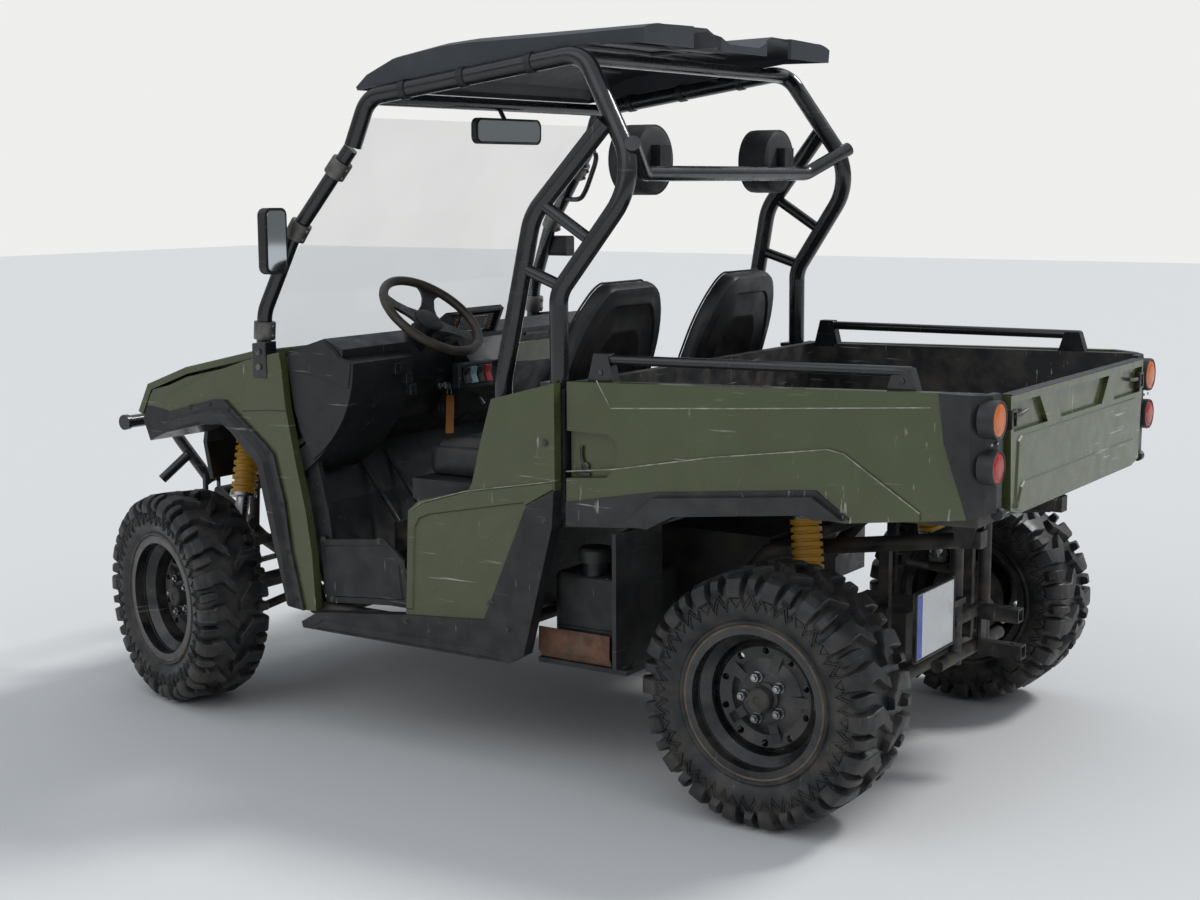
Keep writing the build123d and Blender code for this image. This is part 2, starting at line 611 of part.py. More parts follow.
def front_flares():
    """Black wheel-arch mouldings round the front wheels, with their inner liners."""
    inside = [(1576, 357), (1605, 470), (1643, 610), (1680, 767), (1705, 787), (1779, 854), (1820, 879)]
    lower = inside + [(1906, 873), (2055, 839)]
    lip = lower + [(2048, 878), (1872, 925), (1808, 928), (1748, 886), (1668, 822), (1640, 785), (1605, 640),
                   (1570, 480), (1548, 354)]
    arch = across(ARCH_LINE + lower, PANEL_INNER_Y + 4, BODY_SIDE_Y) + raised(lip, BODY_SIDE_Y, 14)
    liner = across(strip(inside, 4), LINER_INNER_Y, PANEL_INNER_Y + 4)
    return both(arch + liner)


LAMP_INNER_Y = 440.0


def hood():
    """Bonnet across the nose with a raised middle."""
    line = strip([(2200, 880), (2158, 960), (1997, 1018), (1806, 1060), (1716, 1080)][::-1], 20)
    sheet = across(line, -PANEL_INNER_Y + SEAT, PANEL_INNER_Y - SEAT)
    middle = [(2150, 950), (2150, 976), (2002, 1044), (1826, 1084), (1800, 1060), (1990, 1016)]
    crown = extrude(face_xz(middle, -360), amount=-720, dir=(0, -1, 0))
    crown = chamfer(crown.edges().filter_by(Axis.Y).sort_by(Axis.Z)[-1:], 6)
    rib = both(across([(2150, 950), (2152, 962), (1999, 1026), (1812, 1068), (1800, 1060), (1990, 1016)], 470, 500))
    return sheet + crown + rib - both(tube(PILLAR, PILLAR_BENDS, PILLAR_TUBE + 4))


def nose():
    """Front face with its grille slots and the panel under it."""
    edge = LAMP_INNER_Y - SEAT
    face = across(strip([(2180, 930), (2215, 760), (2190, 640)][::-1], 16), -edge, edge) - hood()
    for z in (690, 725, 760, 795):
        face -= block(2150, 2250, -260, 260, z, z + 18)
    return face


def headlamps():
    """Swept lamp units at the corners of the nose."""
    unit = across([(2150, 960), (2198, 868), (2170, 800), (2060, 850), (2050, 985)], LAMP_INNER_Y, PANEL_INNER_Y - SEAT)
    recess = across([(2166, 940), (2230, 940), (2230, 830), (2178, 830)], LAMP_INNER_Y + 16, PANEL_INNER_Y - 40)
    unit -= recess & across([(2150, 968), (2190, 880), (2165, 815), (2120, 815)], 400, 700)
    return both(unit) - hood()


def bumper():
    """Front guard: lateral tube with end caps, side arms, stub arms and plates."""
    top = rod((2498, -505, 812), (2498, 505, 812), 42)
    side = rod((2498, 500, 812), (2498, 516, 812), 50)
    side += tube([(2498, 330, 812), (2440, 330, 740), (2356, RAIL_Y - 30, 590)], [60], 38)
    side += block(2330 + CROSS_TUBE / 2 + SEAT, 2361, RAIL_Y - 62, RAIL_Y + 8, 530, 625)
    side -= block(2300, 2361, RAIL_Y - 56, RAIL_Y - 5, 520, 595)
    side += rod((2400, 330, 690), (2455, 400, 610), 32)
    return top + both(side)


TUNNEL_TOP_Z = 500.0
TREAD_PLACES = [930 + 70 * i for i in range(7)]
TREAD_WIDTH = 14.0
TREAD_SPAN = (170.0, 600.0)
TREAD_LEVELS = (403.0, 408.0)


def floor_tread(x):
    """Raised bar of the footwell floor, as wide wherever its place is carried."""
    right, left = (on_y(y) for y in TREAD_SPAN)
    low, high = TREAD_LEVELS
    middle = Pos(on_x(x) + TREAD_WIDTH / 2, (right + left) / 2, (low + high) / 2)
    return middle * Box(TREAD_WIDTH, left - right, high - low)


def floor_tub():
    """Moulded footwell floor, toe board, middle tunnel and the trims at the doorways' front."""
    line = strip([(868, 700 - SEAT), (868, 392), (1470, 392), (1560, 640), (1640, 800), (1655, 1000)], 12)
    tub = across(line, -690 + SEAT, 690 - SEAT)
    tunnel = along([(-135, 403), (-95, TUNNEL_TOP_Z), (95, TUNNEL_TOP_Z), (135, 403)], 872, 1500)
    trim = across([(1425, 396), (1436, 519), (1456, 646), (1489, 773), (1524, 930), (1540, 1046), (1604, 1046),
                   (1573, 930), (1536, 773), (1505, 646), (1480, 519), (1475, 400)], 672, 690 - SEAT)
    for x in TREAD_PLACES:
        tub += both(floor_tread(x))
    return tub + tunnel + both(trim) - front_pillars()


WHEEL_CLEARANCE = 6.0


def wheel_plane():
    """Plane of the steering wheel, square to the raked column."""
    x, y, z = STEERING_WHEEL_CENTRE
    column = (-cos(radians(COLUMN_RAKE)), 0, sin(radians(COLUMN_RAKE)))
    return Plane(origin=placed((x, y, z)), x_dir=(0, 1, 0), z_dir=column)


def column_shaft(gap):
    """Steering shaft behind the wheel, or its hole with a gap all round."""
    n = Vector(-cos(radians(COLUMN_RAKE)), 0, sin(radians(COLUMN_RAKE)))
    c = Vector(*STEERING_WHEEL_CENTRE)
    return rod(c - n * 20, c - n * 125, COLUMN_SHAFT + 2 * gap)


# Side pods of the dashboard, columns: right end, left end
POD_SPANS = ((440.0, PANEL_INNER_Y - 2 * SEAT), (-PANEL_INNER_Y + 2 * SEAT, -440.0))
CLUSTER_Y = (-20.0, 235.0)


def dash():
    """Dashboard moulding: shelf, rolled edge, side pods, centre stack and hooded instrument cluster."""
    line = strip([(1700, 1052), (1620, 1092), (1440, 1148), (1372, 1120), (1385, 1000), (1470, 880), (1600, 800)], 14)
    panel = across(line, -PANEL_INNER_Y + 2 * SEAT, PANEL_INNER_Y - 2 * SEAT)
    top = Polyline((1395, 1010), (1382, 1096), (1330, 1082)) + ThreePointArc((1330, 1082), (1392, 900), (1560, 742))
    pod_face = make_face(top + Polyline((1560, 742), (1600, 780), (1470, 880), (1395, 1010)))
    for y0, y1 in POD_SPANS:
        width = on_y(y1) - on_y(y0)
        panel += Pos(WHEELBASE - FRONT_AXLE_X, on_y(y0), 0) * extrude(Plane.XZ * pod_face, amount=-width)
    stack = across([(1376, 1110), (1318, 1040), (1330, 960), (1400, 870), (1500, 852), (1400, 990)], -60, 180)
    stack -= block(1300, 1336, 5, 125, 985, 1035)
    near, far = CLUSTER_Y
    hood_line = across([(1440, 1146), (1352, 1206), (1338, 1196), (1372, 1120)], near, far)
    hood_line -= across([(1420, 1146), (1350, 1190), (1330, 1190), (1368, 1122)], near + 12, far - 12)
    panel += stack + hood_line
    panel -= block(1340, 1374, -350, -118, 1030, 1034) + block(1340, 1379, -352, -348, 1030, 1112)
    turning = wheel_plane() * Cylinder(STEERING_WHEEL_RADIUS + WHEEL_CLEARANCE, 2 * (STEERING_RIM_SECTION + WHEEL_CLEARANCE))
    return panel - turning - front_pillars() - column_shaft(SEAT) - floor_tub()


def instrument_pod():
    """Column shroud round the steering shaft."""
    n = Vector(-cos(radians(COLUMN_RAKE)), 0, sin(radians(COLUMN_RAKE)))
    c = Vector(*STEERING_WHEEL_CENTRE)
    return rod(c - n * 60, c - n * 250, 74) - column_shaft(SEAT) - dash()


def controls():
    """Pedals and the shift lever."""
    pieces = Part()
    for y in (250, 380):
        pieces += block(1430, 1442, y - 32, y + 32, 480, 570)
        pieces += rod((1440, y, 550), (1610, y, 760), 14)
    pieces += rod((1340, 90, 900), (1430, 90, 1010), 14)
    return pieces - floor_tub() - dash()


# Line where the black band and the sill meet the green panel beside the seat, columns: x, z
BAND_LINE = [(622, 786), (714, 733), (857, 410), (1134, 388)]


def seat_sides():
    """Green panels beside the seats, with a raised border round the lower field."""
    outline = [(622, 1070), (827, 1016), (862, 905), (895, 782), (908, 762), (1082, 717), (1120, 685)]
    outline += BAND_LINE[::-1]
    border = [(622, 812), (914, 760), (1066, 715), (1104, 690), (1116, 664), (1132, 404), (1104, 406), (1092, 640),
              (1074, 668), (1040, 682), (722, 744), (714, 737), (622, 788)]
    panel = across(outline, PANEL_INNER_Y, BODY_SIDE_Y - 6)
    return both(panel + raised(border, BODY_SIDE_Y - 6, 6))


def rockers():
    """Black sill mouldings with the slanted band up to the bed and a raised step."""
    outline = BAND_LINE + [(1464, 352), (1525, 318), (1520, 300), (774, 300), (724, 328), (628, 690)]
    step = [(1440, 336), (1470, 318), (1462, 306), (800, 306), (860, 330)]
    return both(across(outline, SILL_Y + FRAME_TUBE / 2 + SEAT, BODY_SIDE_Y) + raised(step, BODY_SIDE_Y, 8))


def foot_guards():
    """Low black panels at the doorway, each with a raised field."""
    outline = [(1482, 560), (1240, 586), (1166, 529), (1152, 401), (1462, 376)]
    field = [(1462, 545), (1249, 568), (1184, 518), (1171, 417), (1446, 394)]
    return both(across(outline, 690, 701) + raised(field, 701, 3.5, 45))


SEAT_BASE_Z = 760.0
SEAT_INNER_Y = 115.0
SEAT_OUTER_Y = 565.0
BACK_LINE = ((620, 1285), (700, 1060), (812, 740))
BACK_THICKNESS = 62.0
BACK_SHELL = 16.0
SEAT_MIDDLE_Y = (SEAT_INNER_Y + SEAT_OUTER_Y) / 2


def back_outline(margin):
    """Outline of a seat back seen square on, from its foot up, smaller by a margin."""
    half = (SEAT_OUTER_Y - SEAT_INNER_Y) / 2 - margin
    top = 570.0 - margin
    low = -margin if margin else 0.0
    side = Line((half, low), (half, 285)) + ThreePointArc((half, 285), (half - 16, 420), (150 - margin, top - 34))
    crown = ThreePointArc((150 - margin, top - 34), (134 - margin, top - 9), (104 - margin, top))
    right = side + crown
    left = mirror(right, about=Plane.YZ)
    return make_face(right + Line((104 - margin, top), (margin - 104, top)) + left + Line((-half, low), (half, low)))


def seat_base():
    """Moulded box under the seats with the bulkhead behind them."""
    wall = block(612, 628, -SILL_Y - 21, SILL_Y + 21, 720, 1052)
    box = block(700, 1180, -640, 640, 700, SEAT_BASE_Z)
    return wall + box + block(628, 720, -640, 640, 716, 732)


def seat_cushions():
    """Two bucket cushions with rolled fronts and raised sides."""
    low = SEAT_BASE_Z + SEAT
    nose = ThreePointArc((1186, low), (1206, 815), (1150, 858))
    side = make_face(Polyline((1150, 858), (900, 838), (820, 850), (836, low), (1186, low)) + nose)
    wings = make_face(Polyline((1150, 858), (880, 872), (820, 880), (836, low), (1186, low)) + nose)
    cushion = extrude(Plane.XZ * side, amount=-(SEAT_OUTER_Y - SEAT_INNER_Y))
    wing = extrude(Plane.XZ * wings, amount=-70)
    cushion = Pos(0, SEAT_INNER_Y, 0) * (cushion + wing + Pos(0, SEAT_OUTER_Y - SEAT_INNER_Y - 70, 0) * wing)
    return both(cushion - across(strip(BACK_LINE, BACK_THICKNESS + SEAT), 0, 700))


def seat_backs():
    """Two bucket backs with rounded shoulders, a rolled rim and a recess in the shell."""
    foot, head = Vector(BACK_LINE[2][0], 0, BACK_LINE[2][1]), Vector(BACK_LINE[0][0], 0, BACK_LINE[0][1])
    lean = (head - foot).normalized()
    seat = Plane(origin=foot + Vector(0, SEAT_MIDDLE_Y, 0), x_dir=(0, 1, 0), z_dir=Vector(0, 1, 0).cross(lean))
    back = extrude(back_outline(0), amount=BACK_THICKNESS)
    back = chamfer(back.faces().sort_by(Axis.Z)[-1].edges(), 14)
    back -= extrude(make_face(Polyline((-105, 190), (105, 190), (105, 400), (-105, 400), close=True)), amount=5)
    back += Pos(0, 0, -BACK_SHELL) * extrude(back_outline(12) - back_outline(30), amount=BACK_SHELL + 1)
    return both((seat * back) & block(500, 1000, 0, 700, SEAT_BASE_Z + SEAT, 1400))


def mirrors():
    """Left mirror on its arm, folded right mirror clamp and the inside mirror."""
    shell = fillet(block(1572, 1606, 704, 794, 1330, 1518).edges().filter_by(Axis.X), 22)
    shell = fillet(shell.faces().sort_by(Axis.X)[-1].edges(), 10)
    shell -= fillet(block(1560, 1575, 711, 787, 1337, 1511).edges().filter_by(Axis.X), 17)
    left = shell + rod((1640, 662, 1340), (1596, 735, 1362), 16)
    right = fillet(block(1540, 1640, -712, -662, 1330, 1400).edges().filter_by(Axis.X), 12)
    inside = fillet(block(1294, 1312, -170, 170, 1702, 1780).edges().filter_by(Axis.X), 24)
    inside += rod((1308, 0, 1770), (1333, 0, 1813), 14)
    inside -= rod((1335, -40, 1822), (1335, 40, 1822), 38 + 2 * SEAT)
    return left + right + inside - front_pillars()


def fuel_tank():
    """Moulded tank with rounded corners, a pressed band and a round filler cap."""
    body = block(455, 700, 370, 640, 304 + SEAT, 545)
    body = fillet(body.edges().filter_by(Axis.Z), 30)
    body = fillet(body.faces().sort_by(Axis.Z)[-1].edges(), 16)
    body -= block(440, 720, 634, 660, 400, 440)
    neck = rod((585, 600, 530), (585, 600, 585), 66)
    cap = rod((585, 600, 580), (585, 600, 618), 92)
    cap = chamfer(cap.edges().group_by(Axis.Z)[-1], 6)
    return body + neck + cap


def mud_guards():
    """Flaps ahead of the rear wheels and the tank guard."""
    rail_side = RAIL_Y + FRAME_TUBE / 2 + SEAT
    flap = block(424, 436, 520, 748, 335, 692) + block(426, 434, rail_side, 521, 345, 375)
    tray = block(455, 740, rail_side, 650, 290, 304) + block(520, 740, rail_side, rail_side + 8, 290, 380)
    return both(flap) + tray


# Bed

# Bed side at its top, columns: x, half width
BED_PLAN = ((BED_FRONT_X, 706.0), (200.0, 682.0), (-400.0, GATE_HALF_WIDTH + 126),
            (-520.0, GATE_HALF_WIDTH + 108))
# Bed side outline, columns: x, z
BED_SIDE = ((602, 1072), (602, 692), (351, 708), (277, 747), (-77, 782), (-106, 772), (-179, 768),
            (-476 + SEAT, 800), (-420 + SEAT, 980), (-405 + SEAT, 1097))


def bed_half_width(x):
    """Outer half width of the bed at a place along it."""
    for (x0, w0), (x1, w1) in zip(BED_PLAN, BED_PLAN[1:]):
        if x >= x1:
            return w0 + (w1 - w0) * (x - x0) / (x1 - x0)
    return BED_PLAN[-1][1]


def bed_side_band(outer, inner):
    """Upright band that follows the bed's side between two insets."""
    line = [(x, w - outer) for x, w in BED_PLAN] + [(x, w - inner) for x, w in reversed(BED_PLAN)]
    return upright(line, 600, 1200)


CREASE_STEP = 5.0
# Crease of the bed side from front to rear, and the foot that closes its lower field, columns: x, z
BED_CREASE = [(602, 836), (467, 851), (181, 903), (-131, 945), (-172, 937), (-366, 808)]
BED_SIDE_FOOT = [(-366, 789), (-179, 768), (-106, 772), (-77, 782), (277, 747), (351, 708), (602, 692)]
# Recess round the bed's release lever, columns: x, z
LEVER_RECESS = [(610, 944), (480, 941), (456, 926), (449, 900), (460, 850), (482, 828), (610, 818)]


def bed_sides():
    """Green outer sides of the cargo bed: crease, lever recess and leaning top edge."""
    skin = bed_side_band(0, BED_SIDE_SKIN) & across(BED_SIDE, 500, 800)
    lower = bed_side_band(-CREASE_STEP, 0) & across(BED_CREASE + BED_SIDE_FOOT, 500, 800)
    skin += lower
    recess = bed_side_band(-20, BED_SIDE_SKIN - 6) & across(LEVER_RECESS, 500, 800)
    return both(skin - recess)


def bed_tub():
    """Open black box inside the bed: floor, front wall and side walls, with hinge lugs under it."""
    inner = BED_SIDE_SKIN + SEAT
    rear = BED_TUB_REAR_X
    outline = [(x, w - inner) for x, w in BED_PLAN[:-1]] + [(rear, bed_half_width(rear) - inner)]
    outer = upright(outline + [(x, -y) for x, y in reversed(outline)], 700, 1200)
    outer &= across([(620, 778), (620, 1071), (602, 1071), (rear, 1094), (rear, 778)], -800, 800)
    inside = [(BED_FRONT_X - BED_WALL, bed_half_width(BED_FRONT_X - BED_WALL) - inner - BED_WALL),
              (rear - 5, bed_half_width(rear) - inner - BED_WALL)]
    hollow = upright(inside + [(x, -y) for x, y in reversed(inside)], BED_FLOOR_Z, 1200)
    tub = outer - hollow
    x, z = BED_PIVOT
    eye = [(x - 42, 779), (x + 42, 779), (x + 22, z - 14), (x + 10, z - 22), (x - 10, z - 22), (x - 22, z - 14)]
    start = RAIL_END_SIZE / 2 + LUG_GAP
    lug = across(eye, RAIL_Y + start, RAIL_Y + start + LUG_PLATE)
    lug += across(eye, RAIL_Y - start - LUG_PLATE, RAIL_Y - start)
    lug -= rod((x, RAIL_Y - 60, z), (x, RAIL_Y + 60, z), BED_PIN + 2 * PIN_GAP)
    return tub + both(lug)


def gate_pin(start_y, gap):
    """Hinge pin of the tailgate on the left side, or its hole with a gap all round."""
    x, z = GATE_PIVOT
    return rod((x, start_y, z), (x, GATE_PIN_END_Y + gap, z), GATE_PIN + 2 * gap)


PAD_REAR_X = -522.0
GATE_BOSS = 30.0
LAMP_Y = GATE_HALF_WIDTH + 70
LENS_X = -530.0
# Round lamps, columns: height, housing radius
LAMPS = ((1035.0, 46.0), (922.0, 42.0))


def bed_trim():
    """Black arch trims with their raised lips, and the corner pads that carry the lamps."""
    arch = [(601, 690), (601, 755), (336, 803), (-103, 843), (-191, 778), (-106, 772), (-77, 782), (277, 747), (351, 708)]
    lip = [(420, 712), (336, 790), (-100, 829), (-180, 777), (-106, 772), (-77, 782), (277, 747), (351, 708)]
    trim = bed_side_band(-CREASE_STEP - 6, -CREASE_STEP - SEAT) & across(arch, 500, 800)
    trim += bed_side_band(-CREASE_STEP - 22, -CREASE_STEP - 6) & across(lip, 500, 800)
    pad = across([(-405, 1097), (-512, 1092), (PAD_REAR_X, 1060), (PAD_REAR_X, 812), (-476, 800), (-420, 980)], 500, 660)
    inner = BED_SIDE_SKIN
    tub_rear = BED_TUB_REAR_X - SEAT
    edge = PAD_INNER_Y
    plan = [(-390, edge + 118), (-440, edge + 112), (-478, edge + 98), (-505, edge + 68), (PAD_REAR_X, edge + 34),
            (PAD_REAR_X, edge), (tub_rear, edge),
            (tub_rear, bed_half_width(tub_rear) - inner), (-400, bed_half_width(-400) - inner),
            (-390, bed_half_width(-390) - inner)]
    pad = pad & upright(plan, 780, 1100)
    pad += rod((GATE_PIVOT[0], edge + 2, GATE_PIVOT[1]), (GATE_PIVOT[0], edge + 24, GATE_PIVOT[1]), GATE_BOSS)
    housings = Part()
    for z, radius in LAMPS:
        housings += rod((-470, LAMP_Y, z), (LENS_X, LAMP_Y, z), 2 * radius)
    housings -= bed_side_band(0, BED_SIDE_SKIN) & across(BED_SIDE, 500, 800)
    housings -= upright([(tub_rear, 400), (tub_rear, 700), (-300, 700), (-300, 400)], 800, 1200)
    return both(trim + pad + housings - gate_pin(500, SEAT))


def tail_lamps():
    """Domed lenses of the round amber and red lamps."""
    lamps = Part()
    for z, radius in LAMPS:
        lens = rod((LENS_X - SEAT, LAMP_Y, z), (BED_REAR_X, LAMP_Y, z), 2 * (radius - 5))
        lamps += chamfer(lens.edges().group_by(Axis.X)[0], 3)
    return both(lamps)


def bed_rails():
    """Low rails along the bed's top with their stanchions."""
    side = rod((545, 656, 1130), (-320, 603, 1138), 26)
    for x, y, low in ((520, 654, 1073), (-300, 600, 1092)):
        foot = [(x - 42, low - 8), (x + 42, low - 8), (x + 22, 1146), (x - 22, 1146)]
        side += across(foot, y - 16, y + 16)
    return both(side - bed_tub())


# Pockets pressed into the tailgate as shares of its half width, columns: top left, top right, bottom left, bottom right
GATE_POCKETS = ((0.982, 0.619, 0.949, 0.498), (0.418, -0.418, 0.307, -0.307), (-0.619, -0.982, -0.498, -0.949))


def tailgate():
    """Drop-down rear panel: pressed fields, latch pockets and hinge pins."""
    inner_x = GATE_FACE_X + GATE_THICKNESS
    top, foot = GATE_HALF_WIDTH, GATE_FOOT_HALF_WIDTH
    outline = [(-top, GATE_TOP_Z), (top, GATE_TOP_Z), (foot, GATE_FOOT_Z + 14), (foot - 60, GATE_FOOT_Z),
               (60 - foot, GATE_FOOT_Z), (-foot, GATE_FOOT_Z + 14)]
    panel = along(outline, GATE_FACE_X, inner_x)
    for shares in GATE_POCKETS:
        y0, y1, low0, low1 = [share * GATE_HALF_WIDTH for share in shares]
        pocket = [(y0, 1066), (y1, 1066), (low1, 996), (low0, 996)]
        panel -= along(pocket, GATE_FACE_X - 1, GATE_FACE_X + 12)
    for z, half in ((984, GATE_HALF_WIDTH - 74), (872, GATE_HALF_WIDTH - 89)):
        step = [(-half, z), (half, z), (half + 22, z - 12), (GATE_FOOT_HALF_WIDTH - 24, GATE_FOOT_Z + 18),
                (GATE_FOOT_HALF_WIDTH - 66, GATE_FOOT_Z + 6), (-GATE_FOOT_HALF_WIDTH + 66, GATE_FOOT_Z + 6),
                (-GATE_FOOT_HALF_WIDTH + 24, GATE_FOOT_Z + 18), (-half - 22, z - 12)]
        start = GATE_FACE_X - (0 if z > 900 else 4)
        panel += extrude(face_yz(step, start), amount=4, taper=35, dir=(-1, 0, 0))
    return panel + both(gate_pin(GATE_FOOT_HALF_WIDTH - 10, 0))


TOW_TUBE = 38.0
TOW_WALL = 4.0
TOW_Y = -40.0
TOW_BOLT_RADIUS = 8.0
PLATE_Y = 300.0
PLATE_Z = 467.0


def hitch():
    """Two square tow tubes, one over the other, and the plate's bracket."""
    piece = Part()
    front = HITCH_X - CROSS_TUBE / 2 - SEAT
    for z, rear in ((HITCH_LOW_Z, front - 122), (HITCH_HIGH_Z, front - 112)):
        half = TOW_TUBE / 2
        arm = block(rear, front, TOW_Y - half, TOW_Y + half, z - half, z + half)
        open_half = half - TOW_WALL
        piece += arm - block(rear, front - 8, TOW_Y - open_half, TOW_Y + open_half, z - open_half, z + open_half)
        piece -= rod((rear + 35, TOW_Y, z - half), (rear + 35, TOW_Y, z + half), 2 * TOW_BOLT_RADIUS)
    piece += block(front - 8, front, TOW_Y - 19, TOW_Y + 19, HITCH_LOW_Z, HITCH_HIGH_Z)
    bracket = block(front - 6, front, POST_Y - 10, PLATE_Y + 126, 470, 486)
    bracket += block(front - 6, front, PLATE_Y - 126, PLATE_Y + 126, PLATE_Z - 92, PLATE_Z + 92)
    return piece + bracket


def plate():
    """Blank registration plate."""
    face = HITCH_X - CROSS_TUBE / 2 - 6 - 2 * SEAT
    return block(face - 2, face, PLATE_Y - 120, PLATE_Y + 120, PLATE_Z - 85, PLATE_Z + 85)


def steering_wheel():
    """Three-spoke wheel with its hub, square to the raked column."""
    ring = Torus(STEERING_WHEEL_RADIUS - STEERING_RIM_SECTION, STEERING_RIM_SECTION)
    hub = Pos(0, 0, -28) * Cylinder(34, 44)
    wheel = ring + hub
    reach = STEERING_WHEEL_RADIUS - STEERING_RIM_SECTION
    for angle in (90, 210, 330):
        wheel += Rot(0, 0, angle) * Pos(reach / 2, 0, -8) * Box(reach, 24, 7)
    return wheel_plane() * wheel + column_shaft(0)


def springs():
    """Four coils round the dampers."""
    return both(spring(*DAMPERS[0]) + spring(*DAMPERS[1]))


def dampers():
    """Four shock absorbers between the arms and the frame."""
    return both(damper(*DAMPERS[0]) + damper(*DAMPERS[1]))


def build():
    """All pieces by node name."""
    makers = (frame, floor_tub, seat_base, dash, instrument_pod, controls, hood, nose, headlamps, front_fenders,
              front_flares, bumper, seat_sides, rockers, foot_guards, seat_cushions, seat_backs, cage,
              front_pillars, headrests, roof, windscreen, mirrors, fuel_tank, mud_guards, drivetrain,
              front_arms, rear_arms, dampers, springs, hitch, plate, steering_wheel, steering_rack,
              bed_tub, bed_sides, bed_trim, tail_lamps, bed_rails, tailgate)
    pieces = {make.__name__: make() for make in makers}
    pieces["knuckle_left"] = knuckle(1)
    pieces["knuckle_right"] = knuckle(-1)
    pieces.update(wheels())
    return pieces


os.makedirs("parts", exist_ok=True)
to_ground = Pos(-BOX_MIDDLE_X, 0, TYRE_RADIUS - AXLE_Z)
for node, piece in build().items():
    export_step(to_ground * piece, "parts/" + node + ".step")
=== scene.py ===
import bpy
import bmesh
from math import cos, sin, radians, pi, sqrt
from mathutils import Vector, Matrix


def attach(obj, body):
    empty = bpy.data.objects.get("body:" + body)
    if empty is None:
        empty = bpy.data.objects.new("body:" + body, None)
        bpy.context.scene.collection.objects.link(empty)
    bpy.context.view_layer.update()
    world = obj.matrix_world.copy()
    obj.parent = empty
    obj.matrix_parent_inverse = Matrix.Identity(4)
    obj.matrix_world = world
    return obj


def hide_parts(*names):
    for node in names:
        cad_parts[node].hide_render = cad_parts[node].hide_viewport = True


# Looks of a two-seat side-by-side utility vehicle, in metres, in the frame's own axes:
# x forward, y left, z up, origin on the ground under the middle of the vehicle.

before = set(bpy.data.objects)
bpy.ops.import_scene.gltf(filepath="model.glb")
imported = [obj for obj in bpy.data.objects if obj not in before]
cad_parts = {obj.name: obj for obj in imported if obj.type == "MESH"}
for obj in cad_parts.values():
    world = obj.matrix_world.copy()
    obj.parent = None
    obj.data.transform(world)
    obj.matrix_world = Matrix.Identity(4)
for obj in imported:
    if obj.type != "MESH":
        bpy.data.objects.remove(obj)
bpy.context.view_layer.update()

# Places that the details are measured from
REAR_AXLE_X = -0.991
FRONT_AXLE_X = 1.039
AXLE_Z = 0.323
REAR_WHEEL_Y = 0.672
KINGPIN_Y = 0.600
FRONT_WHEEL_OFFSET = 0.085
REST_STEER = radians(-16.0)
STEERING_CENTRE = (1.337, 0.345, 1.195)
COLUMN_RAKE = radians(51.5)
SEAT_MIDDLE_Y = 0.340
SEAT_HALF_WIDTH = 0.225
BACK_FOOT = (0.812, 0.740)
BACK_HEAD = (0.620, 1.285)
BACK_THICKNESS = 0.062
HEADREST = (0.541, 0.358, 1.645)
SIDES = ((1, "left"), (-1, "right"))
ENDS = ("front", "rear")

# Wheels, each pair of sizes for the front and the rear one
TYRE_RADIUS = 0.323
LUG_PITCHES = 18
TYRE_HALF = {"front": 0.115, "rear": 0.140}
RIM_HALF = {"front": 0.095, "rear": 0.118}
DISC_PLACE = {"front": 0.010, "rear": 0.052}

# The photograph's camera
CAMERA_PLACE = (-3.042, 4.564, 1.590)
CAMERA_YAW = 0.584
CAMERA_PITCH = 0.148
CAMERA_ROLL = -0.005
CAMERA_LENS = 54.2


def at(x, y, z):
    """Point given from the rear axle, in the frame's own axes."""
    return Vector((x + REAR_AXLE_X, y, z))


def route(places, side=1):
    """Points from places given from the rear axle for the left side, mirrored where side is -1."""
    return [at(x, side * y, z) for x, y, z in places]


def between(rows, place):
    """Value at a place from rows of place and value, straight between two rows."""
    for (x0, v0), (x1, v1) in zip(rows, rows[1:]):
        if min(x0, x1) <= place <= max(x0, x1):
            return v0 + (v1 - v0) * (place - x0) / (x1 - x0)
    return rows[-1][1]


def axes(first, second, third):
    """Turn that lays x, y and z along three directions."""
    return Matrix((first, second, third)).transposed().to_4x4()


# Shader building blocks

class Nodes:
    """Short calls for the nodes of a material or of the world."""

    def __init__(self, tree):
        self.nodes = tree.nodes
        self.links = tree.links

    def node(self, kind, values=(), **settings):
        made = self.nodes.new("ShaderNode" + kind)
        for key, value in settings.items():
            setattr(made, key, value)
        for key, value in dict(values).items():
            if isinstance(value, bpy.types.NodeSocket):
                self.links.new(value, made.inputs[key])
            else:
                made.inputs[key].default_value = value
        return made

    def remap(self, value, low, high, out_low=0.0, out_high=1.0, **settings):
        keys = {"Value": value, "From Min": low, "From Max": high, "To Min": out_low, "To Max": out_high}
        return self.node("MapRange", keys, **settings).outputs[0]

    def maths(self, operation, a, b):
        return self.node("Math", {0: a, 1: b}, operation=operation).outputs[0]

    def mix(self, factor, a, b):
        """Colour a to colour b."""
        colours = [c if isinstance(c, bpy.types.NodeSocket) else (*c, 1.0) for c in (a, b)]
        values = {"Factor": factor, 6: colours[0], 7: colours[1]}
        return self.node("Mix", values, data_type="RGBA").outputs[2]


